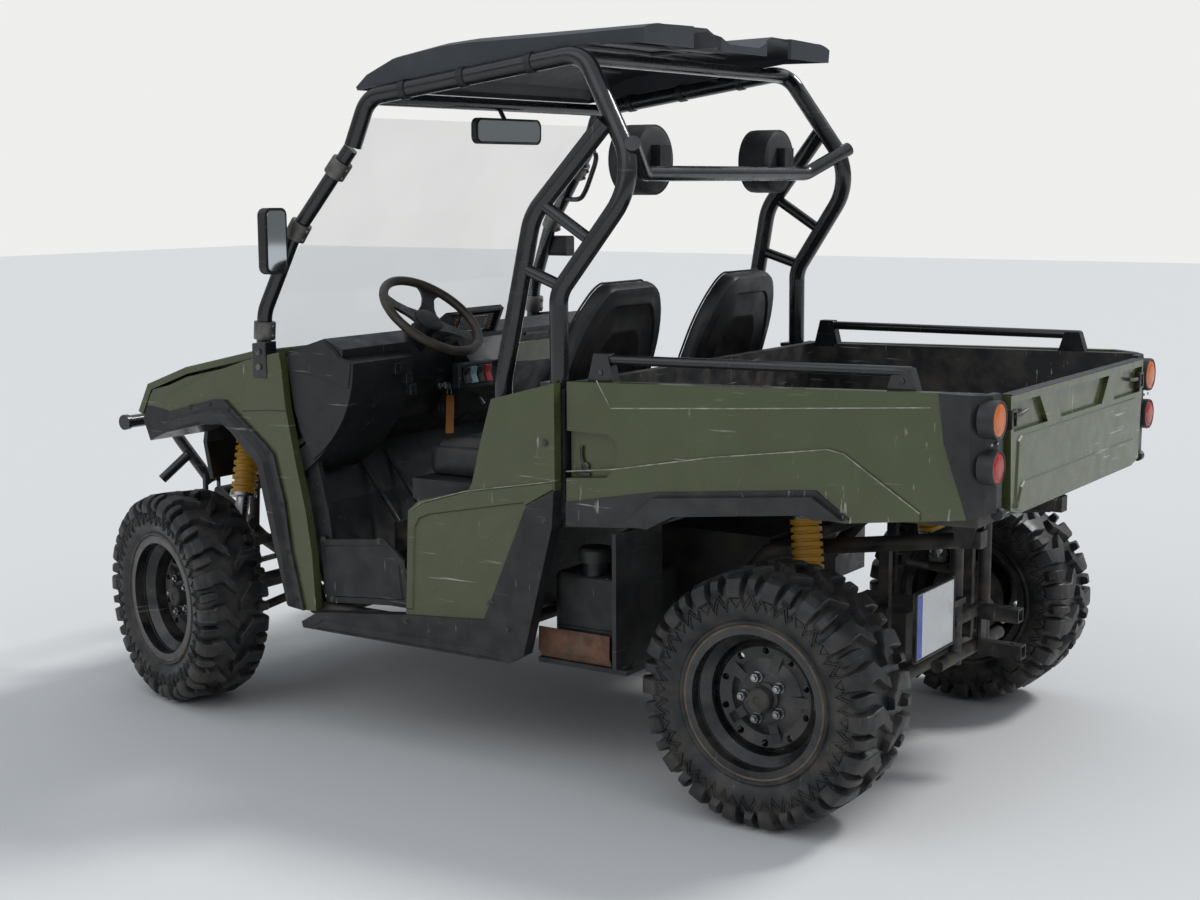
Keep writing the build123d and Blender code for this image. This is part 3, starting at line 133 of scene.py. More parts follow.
class Shader(Nodes):
    """A material made from the principled shader."""

    def __init__(self, name, **sockets):
        self.material = bpy.data.materials.new(name)
        self.material.use_nodes = True
        super().__init__(self.material.node_tree)
        self.main = self.nodes["Principled BSDF"]
        self.place = self.node("TexCoord").outputs["Object"]
        for key, value in sockets.items():
            self.main.inputs[key.replace("_", " ")].default_value = value

    def noise(self, scale, detail=4.0, stretch=(1, 1, 1), turn=(0, 0, 0)):
        """Noise from 0 to 1 in the object's own coordinates."""
        mapped = self.node("Mapping", {"Vector": self.place, "Scale": stretch, "Rotation": turn})
        values = {"Vector": mapped.outputs[0], "Scale": scale, "Detail": detail}
        return self.node("TexNoise", values).outputs[0]

    def height(self):
        """Height of the place on the object."""
        return self.node("SeparateXYZ", {0: self.place}).outputs["Z"]

    def bump(self, height, distance, strength=1.0):
        keys = {"Height": height, "Distance": distance, "Strength": strength}
        self.set("Normal", self.node("Bump", keys).outputs[0])

    def set(self, name, socket):
        self.links.new(socket, self.main.inputs[name])


DUST = (0.20, 0.175, 0.135)
SCUFF = (0.46, 0.46, 0.42)


def worn(name, dark, light, rough, grain=0.0002, grain_scale=700.0, patch=7.0, dust=0.25, dust_top=0.9,
         scuffs=0.0, rough_spread=0.12, **sockets):
    """Used plastic, paint or rubber: patchy colour, dust thickening downwards, scuffs and a fine grain."""
    s = Shader(name, **sockets)
    colour = s.mix(s.remap(s.noise(patch), 0.35, 0.68), dark, light)
    low = s.remap(s.height(), 0.05, dust_top, 1.0, 0.12)
    spots = s.remap(s.noise(16.0, 9.0), 0.42, 0.75)
    dusty = s.maths("MULTIPLY", s.maths("MULTIPLY", low, spots), dust)
    colour = s.mix(dusty, colour, DUST)
    if scuffs:
        flat = s.remap(s.noise(5.0, 12.0, (1.0, 1.0, 22.0), (0.0, 0.35, 0.0)), 0.655, 0.69)
        upright = s.remap(s.noise(9.0, 9.0, (9.0, 9.0, 1.3), (0.0, 0.12, 0.0)), 0.66, 0.71)
        flat = s.maths("MULTIPLY", flat, s.remap(s.noise(3.1), 0.50, 0.64))
        upright = s.maths("MULTIPLY", upright, s.remap(s.noise(4.3), 0.52, 0.62))
        lines = s.maths("MAXIMUM", flat, upright)
        colour = s.mix(s.maths("MULTIPLY", lines, scuffs), colour, SCUFF)
    s.set("Base Color", colour)
    polish = s.remap(s.noise(23.0), 0.3, 0.7, -rough_spread, rough_spread)
    wear = s.maths("ADD", polish, s.maths("MULTIPLY", dusty, 0.5))
    s.set("Roughness", s.maths("ADD", wear, rough))
    s.bump(s.noise(grain_scale, 2.0), grain)
    return s.material


def lens(name, colour):
    """Moulded lamp lens with fine ribs."""
    s = Shader(name, Roughness=0.22, Coat_Weight=0.15, Coat_Roughness=0.05)
    s.set("Base Color", s.mix(s.remap(s.noise(60.0), 0.3, 0.7), [0.75 * c for c in colour], colour))
    ribs = s.node("TexWave", {"Vector": s.place, "Scale": 55.0}, bands_direction="Y")
    s.bump(ribs.outputs[1], 0.001, 0.6)
    return s.material


def screen_glass():
    """Clear plastic sheet with faint smears."""
    s = Shader("clear_screen", Base_Color=(0.72, 0.77, 0.75, 1), Roughness=0.05)
    s.set("Alpha", s.remap(s.noise(2.6, 3.0), 0.3, 0.8, 0.10, 0.15))
    s.material.surface_render_method = "BLENDED"
    return s.material


def mirror_silver():
    """Clean mirror."""
    return Shader("mirror_glass", Base_Color=(0.55, 0.58, 0.60, 1), Metallic=1.0, Roughness=0.04).material


# Every material by a short name: its dark and light colour, its roughness and what marks it
MATERIALS = {
    "green": worn("olive_panel", (0.060, 0.074, 0.024), (0.070, 0.085, 0.029), 0.30, grain=0.00005,
                  dust=0.22, scuffs=0.8, rough_spread=0.07, Coat_Weight=0.35, Coat_Roughness=0.08),
    "black": worn("moulded_black", (0.010, 0.011, 0.013), (0.018, 0.019, 0.022), 0.42, grain=0.0003,
                  dust=0.22, scuffs=0.35),
    "trim": worn("trim_black", (0.014, 0.015, 0.017), (0.026, 0.027, 0.030), 0.40, grain=0.0003, dust=0.35,
                 dust_top=1.1, scuffs=0.6),
    "roof": worn("roof_plastic", (0.030, 0.034, 0.042), (0.043, 0.048, 0.058), 0.46, grain=0.0004, dust=0.12,
                 dust_top=2.6, rough_spread=0.04),
    "cage": worn("cage_paint", (0.007, 0.008, 0.009), (0.013, 0.014, 0.016), 0.24, grain=0.00008, dust=0.15,
                 scuffs=0.2, Coat_Weight=0.4, Coat_Roughness=0.12),
    "chassis": worn("chassis_paint", (0.014, 0.014, 0.015), (0.028, 0.026, 0.024), 0.48, dust=0.9,
                    scuffs=0.2),
    "vinyl": worn("seat_vinyl", (0.012, 0.012, 0.014), (0.020, 0.020, 0.022), 0.42, grain=0.0005,
                  grain_scale=420.0, dust=0.3, dust_top=1.6),
    "foam": worn("headrest_cover", (0.009, 0.010, 0.012), (0.016, 0.017, 0.020), 0.62, grain=0.0006,
                 grain_scale=520.0, dust=0.2, dust_top=2.2, Sheen_Weight=0.15),
    "tyre": worn("tyre_rubber", (0.010, 0.010, 0.012), (0.020, 0.021, 0.023), 0.44, grain=0.0005,
                 grain_scale=260.0, patch=12.0, dust=0.40, dust_top=1.1, scuffs=0.12),
    "rim": worn("rim_paint", (0.008, 0.009, 0.011), (0.016, 0.017, 0.020), 0.27, dust=0.35, scuffs=0.3,
                Coat_Weight=0.3, Coat_Roughness=0.15),
    "cast": worn("cast_metal", (0.045, 0.046, 0.048), (0.085, 0.083, 0.080), 0.62, grain=0.0009,
                 grain_scale=180.0, dust=0.9, Metallic=0.55),
    "steel": worn("bare_steel", (0.30, 0.30, 0.31), (0.48, 0.48, 0.49), 0.28, Metallic=1.0),
    "spring": worn("spring_yellow", (0.62, 0.32, 0.02), (0.80, 0.44, 0.03), 0.35, dust=0.35, dust_top=1.0),
    "grip": worn("worn_grip", (0.030, 0.024, 0.019), (0.085, 0.062, 0.042), 0.40, grain=0.0004, patch=16.0,
                 dust=0.0),
    "bed": worn("bed_liner", (0.014, 0.014, 0.016), (0.030, 0.030, 0.031), 0.52, grain=0.0007,
                grain_scale=300.0, dust=0.7, dust_top=1.8, scuffs=0.9),
    "rust": worn("rusty_guard", (0.085, 0.040, 0.024), (0.20, 0.095, 0.055), 0.75, grain=0.0012,
                 grain_scale=160.0, patch=22.0, dust=0.5),
    "amber": lens("amber_lens", (0.78, 0.17, 0.008)),
    "red": lens("red_lens", (0.50, 0.022, 0.016)),
    # edge: pale lines, partly edge wear and partly a painted highlight where creases catch the light
    "edge": worn("edge_wear_and_painted_highlight", (0.20, 0.22, 0.15), (0.46, 0.47, 0.40), 0.35, grain=0.0001, patch=40.0,
                 dust=0.1),
    "bolt": worn("dark_bolt", (0.045, 0.044, 0.042), (0.12, 0.115, 0.105), 0.36, patch=60.0, dust=0.2,
                 dust_top=2.4, Metallic=0.7),
    "clear": lens("clear_lens", (0.085, 0.09, 0.095)),
    "mirror": mirror_silver(),
    "plate": worn("plate_white", (0.74, 0.75, 0.76), (0.80, 0.81, 0.81), 0.30, grain=0.00005, dust=0.12),
    "blue": worn("plate_blue", (0.015, 0.075, 0.42), (0.020, 0.090, 0.50), 0.30, grain=0.00005, dust=0.1),
    "orange": worn("tag_orange", (0.50, 0.17, 0.03), (0.62, 0.24, 0.06), 0.55, dust=0.1),
    "lip": worn("rusty_lip", (0.080, 0.062, 0.048), (0.20, 0.135, 0.090), 0.62, grain=0.0003, patch=24.0,
                dust=0.4),
    "spoke": worn("spoke_paint", (0.020, 0.020, 0.021), (0.055, 0.052, 0.050), 0.33, dust=0.1, scuffs=0.5),
    "clamp": worn("clamp_metal", (0.10, 0.095, 0.088), (0.26, 0.25, 0.235), 0.45, grain=0.0004, patch=18.0,
                  dust=0.3, dust_top=2.4, Metallic=0.8),
    "switch": worn("switch_black", (0.012, 0.012, 0.013), (0.018, 0.018, 0.019), 0.28, grain=0.00005,
                   dust=0.05),
    "pale": worn("switch_pale", (0.26, 0.40, 0.46), (0.32, 0.46, 0.52), 0.35, grain=0.00005, dust=0.05),
    "signal": worn("switch_red", (0.40, 0.035, 0.025), (0.48, 0.05, 0.035), 0.35, grain=0.00005, dust=0.05),
    "display": worn("display_glass", (0.105, 0.125, 0.100), (0.135, 0.155, 0.125), 0.10, grain=0.00002,
                    dust=0.0),
    "screen": screen_glass(),
}

# Finish of each carried-over node: material, then the nodes that take it
NODE_FINISH = {
    "green": "hood front_fenders seat_sides bed_sides tailgate",
    "black": "floor_tub seat_base dash instrument_pod nose rockers foot_guards fuel_tank mud_guards mirrors",
    "trim": "front_flares bed_trim",
    "roof": "roof",
    "cage": "cage front_pillars bed_rails bumper",
    "chassis": "frame front_arms rear_arms hitch controls",
    "vinyl": "seat_cushions seat_backs",
    "foam": "headrests",
    "screen": "windscreen",
    "clear": "headlamps",
    "red": "tail_lamps",
    "plate": "plate",
    "cast": "drivetrain knuckle_left knuckle_right",
    "steel": "dampers steering_rack",
    "spring": "springs",
    "grip": "steering_wheel",
    "bed": "bed_tub",
    "rim": "rim_front_left rim_front_right rim_rear_left rim_rear_right",
    "tyre": "tyre_front_left tyre_front_right tyre_rear_left tyre_rear_right",
}


def dress_nodes():
    """Gives each CAD node its material."""
    for key, names in NODE_FINISH.items():
        for name in names.split():
            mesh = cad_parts[name].data
            mesh.materials.clear()
            mesh.materials.append(MATERIALS[key])


# Mesh building blocks

SHARP_ANGLE = radians(38)
BEVEL_SEGMENTS = 3

# Views that a flat outline is drawn in: from the side in x and z, and from an end in y and z
FORWARD_UP = Matrix(((1, 0, 0), (0, 0, 1), (0, 1, 0))).to_4x4()
ACROSS_UP = Matrix(((0, 0, 1), (1, 0, 0), (0, 1, 0))).to_4x4()
SIDE_VIEW = Matrix.Translation((REAR_AXLE_X, 0, 0)) @ FORWARD_UP
END_VIEW = Matrix.Translation((REAR_AXLE_X, 0, 0)) @ ACROSS_UP


def finished(name, mesh, material, body="root", bevel=0.0):
    """Puts a bmesh into the scene as a named piece on a body."""
    data = bpy.data.meshes.new(name)
    bmesh.ops.recalc_face_normals(mesh, faces=mesh.faces)
    mesh.to_mesh(data)
    mesh.free()
    piece = bpy.data.objects.new(name, data)
    bpy.context.scene.collection.objects.link(piece)
    data.materials.append(MATERIALS[material])
    if bevel:
        edge = piece.modifiers.new("edge", "BEVEL")
        edge.width = bevel
        edge.segments = BEVEL_SEGMENTS
        edge.limit_method = "ANGLE"
    data.shade_smooth()
    data.set_sharp_from_angle(angle=SHARP_ANGLE)
    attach(piece, body)
    return piece


def angles_round(count):
    """Angles once round in equal steps."""
    return [2 * pi * k / count for k in range(count)]


def frame_along(start, direction):
    """Matrix at a point with its z along a direction."""
    turn = Vector(direction).to_track_quat("Z", "Y").to_matrix().to_4x4()
    return Matrix.Translation(Vector(start)) @ turn


def circle(mesh, matrix, radius, height, segments):
    """Ring of vertices about the matrix's z."""
    places = [Vector((radius * cos(a), radius * sin(a), height)) for a in angles_round(segments)]
    return [mesh.verts.new(matrix @ place) for place in places]


def bridge(mesh, rings, sides=0):
    """Faces between neighbouring rings, all the way round or only on their first sides."""
    for near, far in zip(rings, rings[1:]):
        n = len(near)
        for k in range(sides or n):
            mesh.faces.new([near[k], near[(k + 1) % n], far[(k + 1) % n], far[k]])


def close_ends(mesh, rings):
    """Flat faces on the first and the last ring."""
    mesh.faces.new(rings[0][::-1])
    mesh.faces.new(rings[-1])


def add_box(mesh, xs, ys, zs, side=1):
    """Box from its spans along x, y and z, given from the rear axle, mirrored where side is -1."""
    ys = sorted(side * y for y in ys)
    low, high = (at(*corner) for corner in zip(xs, ys, zs))
    matrix = Matrix.Translation((low + high) / 2) @ Matrix.Diagonal((*(high - low), 1.0))
    bmesh.ops.create_cube(mesh, size=1.0, matrix=matrix)


def add_lathe(mesh, matrix, profile, segments=32):
    """Body of revolution about the matrix's z from (radius, height) points; radius 0 closes it."""
    rings = []
    for radius, height in profile:
        if radius:
            rings.append(circle(mesh, matrix, radius, height, segments))
        else:
            rings.append([mesh.verts.new(matrix @ Vector((0, 0, height)))])
    for low, up in zip(rings, rings[1:]):
        for i in range(segments):
            j = (i + 1) % segments
            corners = [low[i % len(low)], low[j % len(low)], up[j % len(up)], up[i % len(up)]]
            corners = list(dict.fromkeys(corners))
            if len(corners) > 2:
                mesh.faces.new(corners)


def add_cylinder(mesh, start, direction, radius, length, segments=24, edge=0.0):
    """Closed cylinder with an optional rounded top edge."""
    e = min(edge, radius * 0.6, length * 0.5)
    profile = [(0, 0), (radius, 0), (radius, length - e), (radius - 0.3 * e, length - 0.3 * e),
               (radius - e, length), (0, length)]
    add_lathe(mesh, frame_along(start, direction), profile, segments)


def add_hex(mesh, start, direction, across_flats, length):
    """Hexagon head with a chamfered top."""
    r = across_flats / sqrt(3)
    profile = [(0, 0), (r, 0), (r, 0.85 * length), (0.88 * r, length), (0, length)]
    add_lathe(mesh, frame_along(start, direction), profile, 6)


def add_tube(mesh, line, radius, segments, closed=False):
    """Round tube along points, with flat ends or closed to a ring."""
    n = len(line)
    rings = []
    for i, place in enumerate(line):
        before, after = (i - 1, (i + 1) % n) if closed else (max(i - 1, 0), min(i + 1, n - 1))
        rings.append(circle(mesh, frame_along(place, line[after] - line[before]), radius, 0, segments))
    for low, up in zip(rings, rings[1:] + rings[:1] if closed else rings[1:]):
        offset = min(range(segments), key=lambda k: (up[k].co - low[0].co).length)
        for k in range(segments):
            a, b = (k + offset) % segments, (k + 1 + offset) % segments
            mesh.faces.new([low[k], low[(k + 1) % segments], up[b], up[a]])
    if not closed:
        close_ends(mesh, rings)


def add_bead(mesh, points, radius):
    """Thin six-sided bead along straight runs."""
    fine = []
    for a, b in zip(points, points[1:]):
        fine += [a + (b - a) * share for share in (0.0, 0.33, 0.67)]
    add_tube(mesh, fine + [points[-1]], radius, 6)


def smooth_line(points, steps=6):
    """Catmull-Rom points through a few given ones."""
    p = [Vector(q) for q in points]
    p = [2 * p[0] - p[1]] + p + [2 * p[-1] - p[-2]]
    line = []
    for a, b, c, d in zip(p, p[1:], p[2:], p[3:]):
        for k in range(steps):
            t = k / steps
            square, cube = (2 * a - 5 * b + 4 * c - d) * t * t, (3 * b - a - 3 * c + d) * t ** 3
            line.append(0.5 * (2 * b + (c - a) * t + square + cube))
    return line + [p[-2]]


def add_prism(mesh, matrix, outline, low, high):
    """Flat outline carried from one height to another along the matrix's z."""
    rings = [[mesh.verts.new(matrix @ Vector((x, y, z))) for x, y in outline] for z in (low, high)]
    bridge(mesh, rings)
    close_ends(mesh, rings)


def single(name, material, add, *shape, body="root", bevel=0.0, **settings):
    """A piece that is one shape, made by its add function."""
    mesh = bmesh.new()
    add(mesh, *shape, **settings)
    return finished(name, mesh, material, body, bevel)


def rounded_rectangle(x0, x1, y0, y1, radius, steps=7):
    """Outline with rounded corners."""
    left, right, low, high = x0 + radius, x1 - radius, y0 + radius, y1 - radius
    points = []
    for cx, cy, start in ((right, high, 0), (left, high, 90), (left, low, 180), (right, low, 270)):
        for k in range(steps + 1):
            a = radians(start + 90 * k / steps)
            points.append((cx + radius * cos(a), cy + radius * sin(a)))
    return points


def centred(half_width, half_height, radius):
    """Rounded rectangle about the origin."""
    return rounded_rectangle(-half_width, half_width, -half_height, half_height, radius)


# Wheels

class Wheel:
    """Names, place, outward direction and half widths of one wheel."""

    def __init__(self, end, side, name):
        self.name = "_%s_%s" % (end, name)
        self.body = "wheel" + self.name
        self.half, self.rim_half, self.disc = TYRE_HALF[end], RIM_HALF[end], DISC_PLACE[end]
        if end == "rear":
            self.out = Vector((0, side, 0))
            self.centre = Vector((REAR_AXLE_X, side * REAR_WHEEL_Y, AXLE_Z))
        else:
            self.out = side * Vector((-sin(REST_STEER), cos(REST_STEER), 0))
            kingpin = Vector((FRONT_AXLE_X, side * KINGPIN_Y, AXLE_Z))
            self.centre = kingpin + self.out * FRONT_WHEEL_OFFSET
        self.across = self.out.cross(Vector((0, 0, 1))).normalized()
        self.up = self.out.cross(self.across).normalized()

    def spoke(self, angle):
        """Direction from the centre at an angle."""
        return self.across * cos(angle) + self.up * sin(angle)

    def point(self, s, y, r):
        """Point from its place round the tread, across it and its radius."""
        return self.centre + self.out * y + self.spoke(s / TYRE_RADIUS) * r

    def axle(self, place=0.0):
        """Matrix with its z along the axle, from a place across the wheel."""
        return frame_along(self.centre + self.out * place, self.out)


WHEELS = [Wheel(end, side, name) for end in ENDS for side, name in SIDES]

# Hub cap, columns: radius, height
CAP = ((0.040, 0.0), (0.040, 0.006), (0.033, 0.010), (0.0315, 0.034), (0.027, 0.0385), (0.012, 0.040),
       (0.010, 0.036), (0, 0.036))
# Lug nuts: their number and circle, then radius or width over the flats, and height, of each nut's parts
NUT_COUNT = 5
NUT_CIRCLE = 0.055
WASHER = (0.0135, 0.004)
NUT = (0.0215, 0.017)
STUD = (0.0075, 0.009)
STUD_FOOT = 0.020


def wheel_fittings():
    """Bright lug nuts on washers, their stud ends and the hub cap of each wheel."""
    for wheel in WHEELS:
        out = wheel.out
        nuts = bmesh.new()
        for angle in angles_round(NUT_COUNT):
            foot = wheel.centre + wheel.spoke(angle) * NUT_CIRCLE + out * (wheel.disc + 0.006)
            add_cylinder(nuts, foot, out, *WASHER)
            add_hex(nuts, foot + out * WASHER[1], out, *NUT)
            add_cylinder(nuts, foot + out * STUD_FOOT, out, *STUD, 12, 0.003)
        finished(wheel.body + "_nuts", nuts, "steel", wheel.body)
        cap_place = wheel.axle(wheel.disc + 0.004)
        single(wheel.body + "_cap", "cast", add_lathe, cap_place, CAP, 40, body=wheel.body)


# Outer surface of a tyre without its lugs from the bead to the crown, columns: radius, place across from the
# rim's half width, then radius, place across from the tyre's half width; the crown's middle comes last
BEAD = ((0.1778, -0.016), (0.187, -0.007), (0.1945, -0.002), (0.199, 0.004), (0.204, 0.005), (0.208, 0.001))
WALL = ((0.222, 0.011), (0.236, 0.0065), (0.250, 0.0055), (0.263, 0.0080), (0.276, 0.0135), (0.288, 0.0225),
        (0.2970, 0.0360), (0.3012, 0.0550))
CROWN_RADIUS = 0.3020
TYRE_SEGMENTS = 108
TYRE_SHARP_ANGLE = radians(24)

# Tread bar from the crown over the shoulder, columns: share of the half width or distance from it,
# radius of its top, radius of its foot, place round the tread as a share of the pitch, half width of its top
LONG_BAR = ((0.03, 0.3230, 0.298, -0.33, 0.0150), (0.17, 0.3230, 0.298, -0.20, 0.0150),
            (0.175, 0.3230, 0.298, -0.19, 0.0190), (0.36, 0.3230, 0.298, 0.02, 0.0190),
            (0.40, 0.3228, 0.298, 0.06, 0.0225), (0.66, 0.3222, 0.298, 0.03, 0.0225),
            (-0.032, 0.3195, 0.292, -0.02, 0.0225), (-0.013, 0.3120, 0.284, -0.03, 0.0225),
            (-0.0042, 0.3010, 0.274, -0.03, 0.0215), (-0.0006, 0.2890, 0.266, -0.03, 0.0205),
            (-0.0006, 0.2760, 0.260, -0.03, 0.0200), (-0.0010, 0.2690, 0.258, -0.03, 0.0200),
            (-0.0060, 0.2655, 0.257, -0.03, 0.0195))
SHORT_BAR = ((0.60, 0.3215, 0.298, 0.53, 0.0100), (-0.034, 0.3188, 0.292, 0.52, 0.0120),
             (-0.015, 0.3115, 0.284, 0.50, 0.0125), (-0.0052, 0.3010, 0.272, 0.49, 0.0120),
             (-0.0030, 0.2900, 0.268, 0.49, 0.0115))
# Bevel along a bar's top, width and drop, and how far its flanks spread at the foot. On the shoulder, where
# the top is below a radius, the foot lies further and further inside, up to an inset over a depth
BAR_BEVEL = 0.003
BAR_DROP = 0.0028
BAR_SPREAD = 0.005
SHOULDER_RADIUS = 0.318
BAR_INSET = 0.011
INSET_DEPTH = 0.03

# Raised zigzags on the side wall between the bars, columns: place as a share of the pitch, radius
CHEVRONS = (((0.155, 0.2870), (0.285, 0.2500), (0.485, 0.2790), (0.685, 0.2500), (0.815, 0.2870)),
            ((0.195, 0.2600), (0.285, 0.2360), (0.485, 0.2650), (0.685, 0.2360), (0.775, 0.2600)),
            ((-0.225, 0.2670), (-0.035, 0.2430), (0.155, 0.2670)))
RIDGE_WIDTH = 0.0092
RIDGE_HEIGHT = 0.0050
RIDGE_SUNK = 0.0012


def add_bar(mesh, wheel, table, pitch, offset, side):
    """One tread bar with bevelled edges, swept over the tyre's shoulder."""
    rings = []
    for across, top, foot, share, width in table:
        y = across * wheel.half if across > 0 else wheel.half + across
        inset = 0.0 if top > SHOULDER_RADIUS else BAR_INSET * min(1.0, (TYRE_RADIUS - top) / INSET_DEPTH)
        low_y = y - inset
        middle = offset + share * pitch
        left, right = middle - width, middle + width
        edge = top - BAR_DROP
        section = [(left - BAR_SPREAD, low_y, foot), (left, y, edge), (left + BAR_BEVEL, y, top),
                   (right - BAR_BEVEL, y, top), (right, y, edge), (right + BAR_SPREAD, low_y, foot)]
        rings.append([mesh.verts.new(wheel.point(s, side * v, r)) for s, v, r in section])
    bridge(mesh, rings, 5)
    close_ends(mesh, rings)


def add_ridge(mesh, points, outward):
    """Low ridge with a flat top along points, standing out along a direction."""
    rings = []
    for i, p in enumerate(points):
        ahead = (points[min(i + 1, len(points) - 1)] - points[max(i - 1, 0)]).normalized()
        sideways = ahead.cross(outward).normalized() * RIDGE_WIDTH / 2
        sunk, raised, narrow = outward * -RIDGE_SUNK, outward * RIDGE_HEIGHT, sideways * 0.35
        corners = (p - sideways + sunk, p - narrow + raised, p + narrow + raised, p + sideways + sunk)
        rings.append([mesh.verts.new(corner) for corner in corners])
    bridge(mesh, rings)
    close_ends(mesh, rings)


def tyres():
    """Four tyres with swept tread bars, shoulder blocks and pressed chevrons."""
    pitch = 2 * pi * TYRE_RADIUS / LUG_PITCHES
    for wheel in WHEELS:
        line = [(r, wheel.rim_half + y) for r, y in BEAD] + [(r, wheel.half - y) for r, y in WALL]
        line.append((CROWN_RADIUS, 0.0))
        mesh = bmesh.new()
        add_lathe(mesh, wheel.axle(), line + [(r, -y) for r, y in line[-2::-1]], TYRE_SEGMENTS)
        for side in (1, -1):
            for k in range(LUG_PITCHES):
                offset = (k + (0.0 if side > 0 else 0.5)) * pitch
                add_bar(mesh, wheel, LONG_BAR, pitch, offset, side)
                add_bar(mesh, wheel, SHORT_BAR, pitch, offset, side)
                for chevron in CHEVRONS:
                    points = [wheel.point(offset + share * pitch, side * (between(line, r) + 0.0002), r)
                              for share, r in chevron]
                    add_ridge(mesh, points, wheel.out * side)
        piece = finished("tyre_look" + wheel.name, mesh, "tyre", wheel.body)
        piece.data.set_sharp_from_angle(angle=TYRE_SHARP_ANGLE)
        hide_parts("tyre" + wheel.name)


# Rust line on the rim's lip, columns: radius, place across from the rim's half width
RUST_LINE = ((0.1900, 0.0002), (0.1930, 0.0014), (0.1962, -0.0006), (0.1962, -0.0040), (0.1900, -0.0040),
             (0.1900, 0.0002))
# Rolled rings in the barrel, columns: radius, distance inside the rim's half width; then one ring's section
ROLLED_RINGS = ((0.1716, 0.030), (0.1650, 0.046), (0.1500, 0.062))
ROLL = ((0.0, -0.003), (-0.002, 0.0), (0.0, 0.003), (0.004, 0.003), (0.004, -0.003), (0.0, -0.003))


def rim_marks():
    """Rust line where the tyre meets each rim, and fine rolled rings inside the barrel."""
    for wheel in WHEELS:
        rust = [(r, wheel.rim_half + y) for r, y in RUST_LINE]
        single("rust_line" + wheel.name, "lip", add_lathe, wheel.axle(), rust, 96, body=wheel.body)
        rings = bmesh.new()
        for radius, inside in ROLLED_RINGS:
            y = wheel.rim_half - inside
            add_lathe(rings, wheel.axle(), [(radius + dr, y + dy) for dr, dy in ROLL], 96)
        finished("rolled_rings" + wheel.name, rings, "rim", wheel.body)


# Seats, headrests and steering wheel

def add_soft_block(mesh, matrix, outline, thickness, bulge, edge, back_rings=()):
    """Stuffed slab: a rounded edge round an outline, a domed face at +z and a flat one at 0."""
    n = len(outline)
    cx, cy = sum(p[0] for p in outline) / n, sum(p[1] for p in outline) / n

    def ring(share, z, pull):
        points = []
        for x, y in outline:
            dx, dy = x - cx, y - cy
            k = share - pull / sqrt(dx * dx + dy * dy)
            points.append(mesh.verts.new(matrix @ Vector((cx + dx * k, cy + dy * k, z))))
        return points

    levels = [(0.55, thickness + bulge, 0), (0.80, thickness + 0.7 * bulge, 0),
              (1.0, thickness - 0.15 * edge, 0.9 * edge), (1.0, thickness - 0.45 * edge, 0.25 * edge),
              (1.0, thickness - edge, 0.0), (1.0, edge * 0.6, 0.0), (1.0, 0.15 * edge, 0.2 * edge),
              (1.0, 0.0, 0.8 * edge), *back_rings]
    rings = [ring(*level) for level in levels]
    bridge(mesh, rings)
    for loop, z in ((rings[0], levels[0][1] + 0.1 * bulge), (rings[-1], levels[-1][1])):
        hub = mesh.verts.new(matrix @ Vector((cx, cy, z)))
        for k in range(n):
            mesh.faces.new([loop[k], loop[(k + 1) % n], hub])


# Shoulder of a seat back, columns: distance in from its side, height; and half of its top edge
BACK_SHOULDER = ((0.001, 0.310), (0.005, 0.350), (0.010, 0.390), (0.018, 0.425), (0.030, 0.460),
                 (0.046, 0.495), (0.066, 0.526), (0.084, 0.548), (0.102, 0.562), (0.121, 0.570))
BACK_TOP = ((0.08, 0.570), (0.05, 0.570), (0.02, 0.570))
# Pressed rear panel of a seat back, columns: share of its outline, height, pull inwards
REAR_PANEL = ((0.86, 0.0, 0), (0.835, -0.004, 0), (0.81, -0.004, 0), (0.79, 0.001, 0), (0.55, 0.001, 0),
              (0.53, -0.002, 0), (0.50, -0.002, 0), (0.48, 0.001, 0))
# Piping along a back's edge: share of its outline, height of its middle on the back, depth under the face
PIPING = (0.985, 0.285, 0.0085)
# Cushion: its middle in x and the height of its underside, then its rear and front edge and corner radius
CUSHION_PLACE = (1.018, 0.7605)
CUSHION_PLAN = (-0.190, 0.182, 0.055)
# Bolsters along a cushion: columns x, z, then their distance inside its sides
WING = ((0.865, 0.853), (0.95, 0.852), (1.05, 0.849), (1.15, 0.838))
WING_INSET = 0.036


def back_outline():
    """Outline of a seat back, from its lower left corner round."""
    h = SEAT_HALF_WIDTH
    half = [(h, 0.02 * k) for k in range(15)] + [(h - x, y) for x, y in BACK_SHOULDER] + list(BACK_TOP)
    return half + [(-x, y) for x, y in half[::-1]]


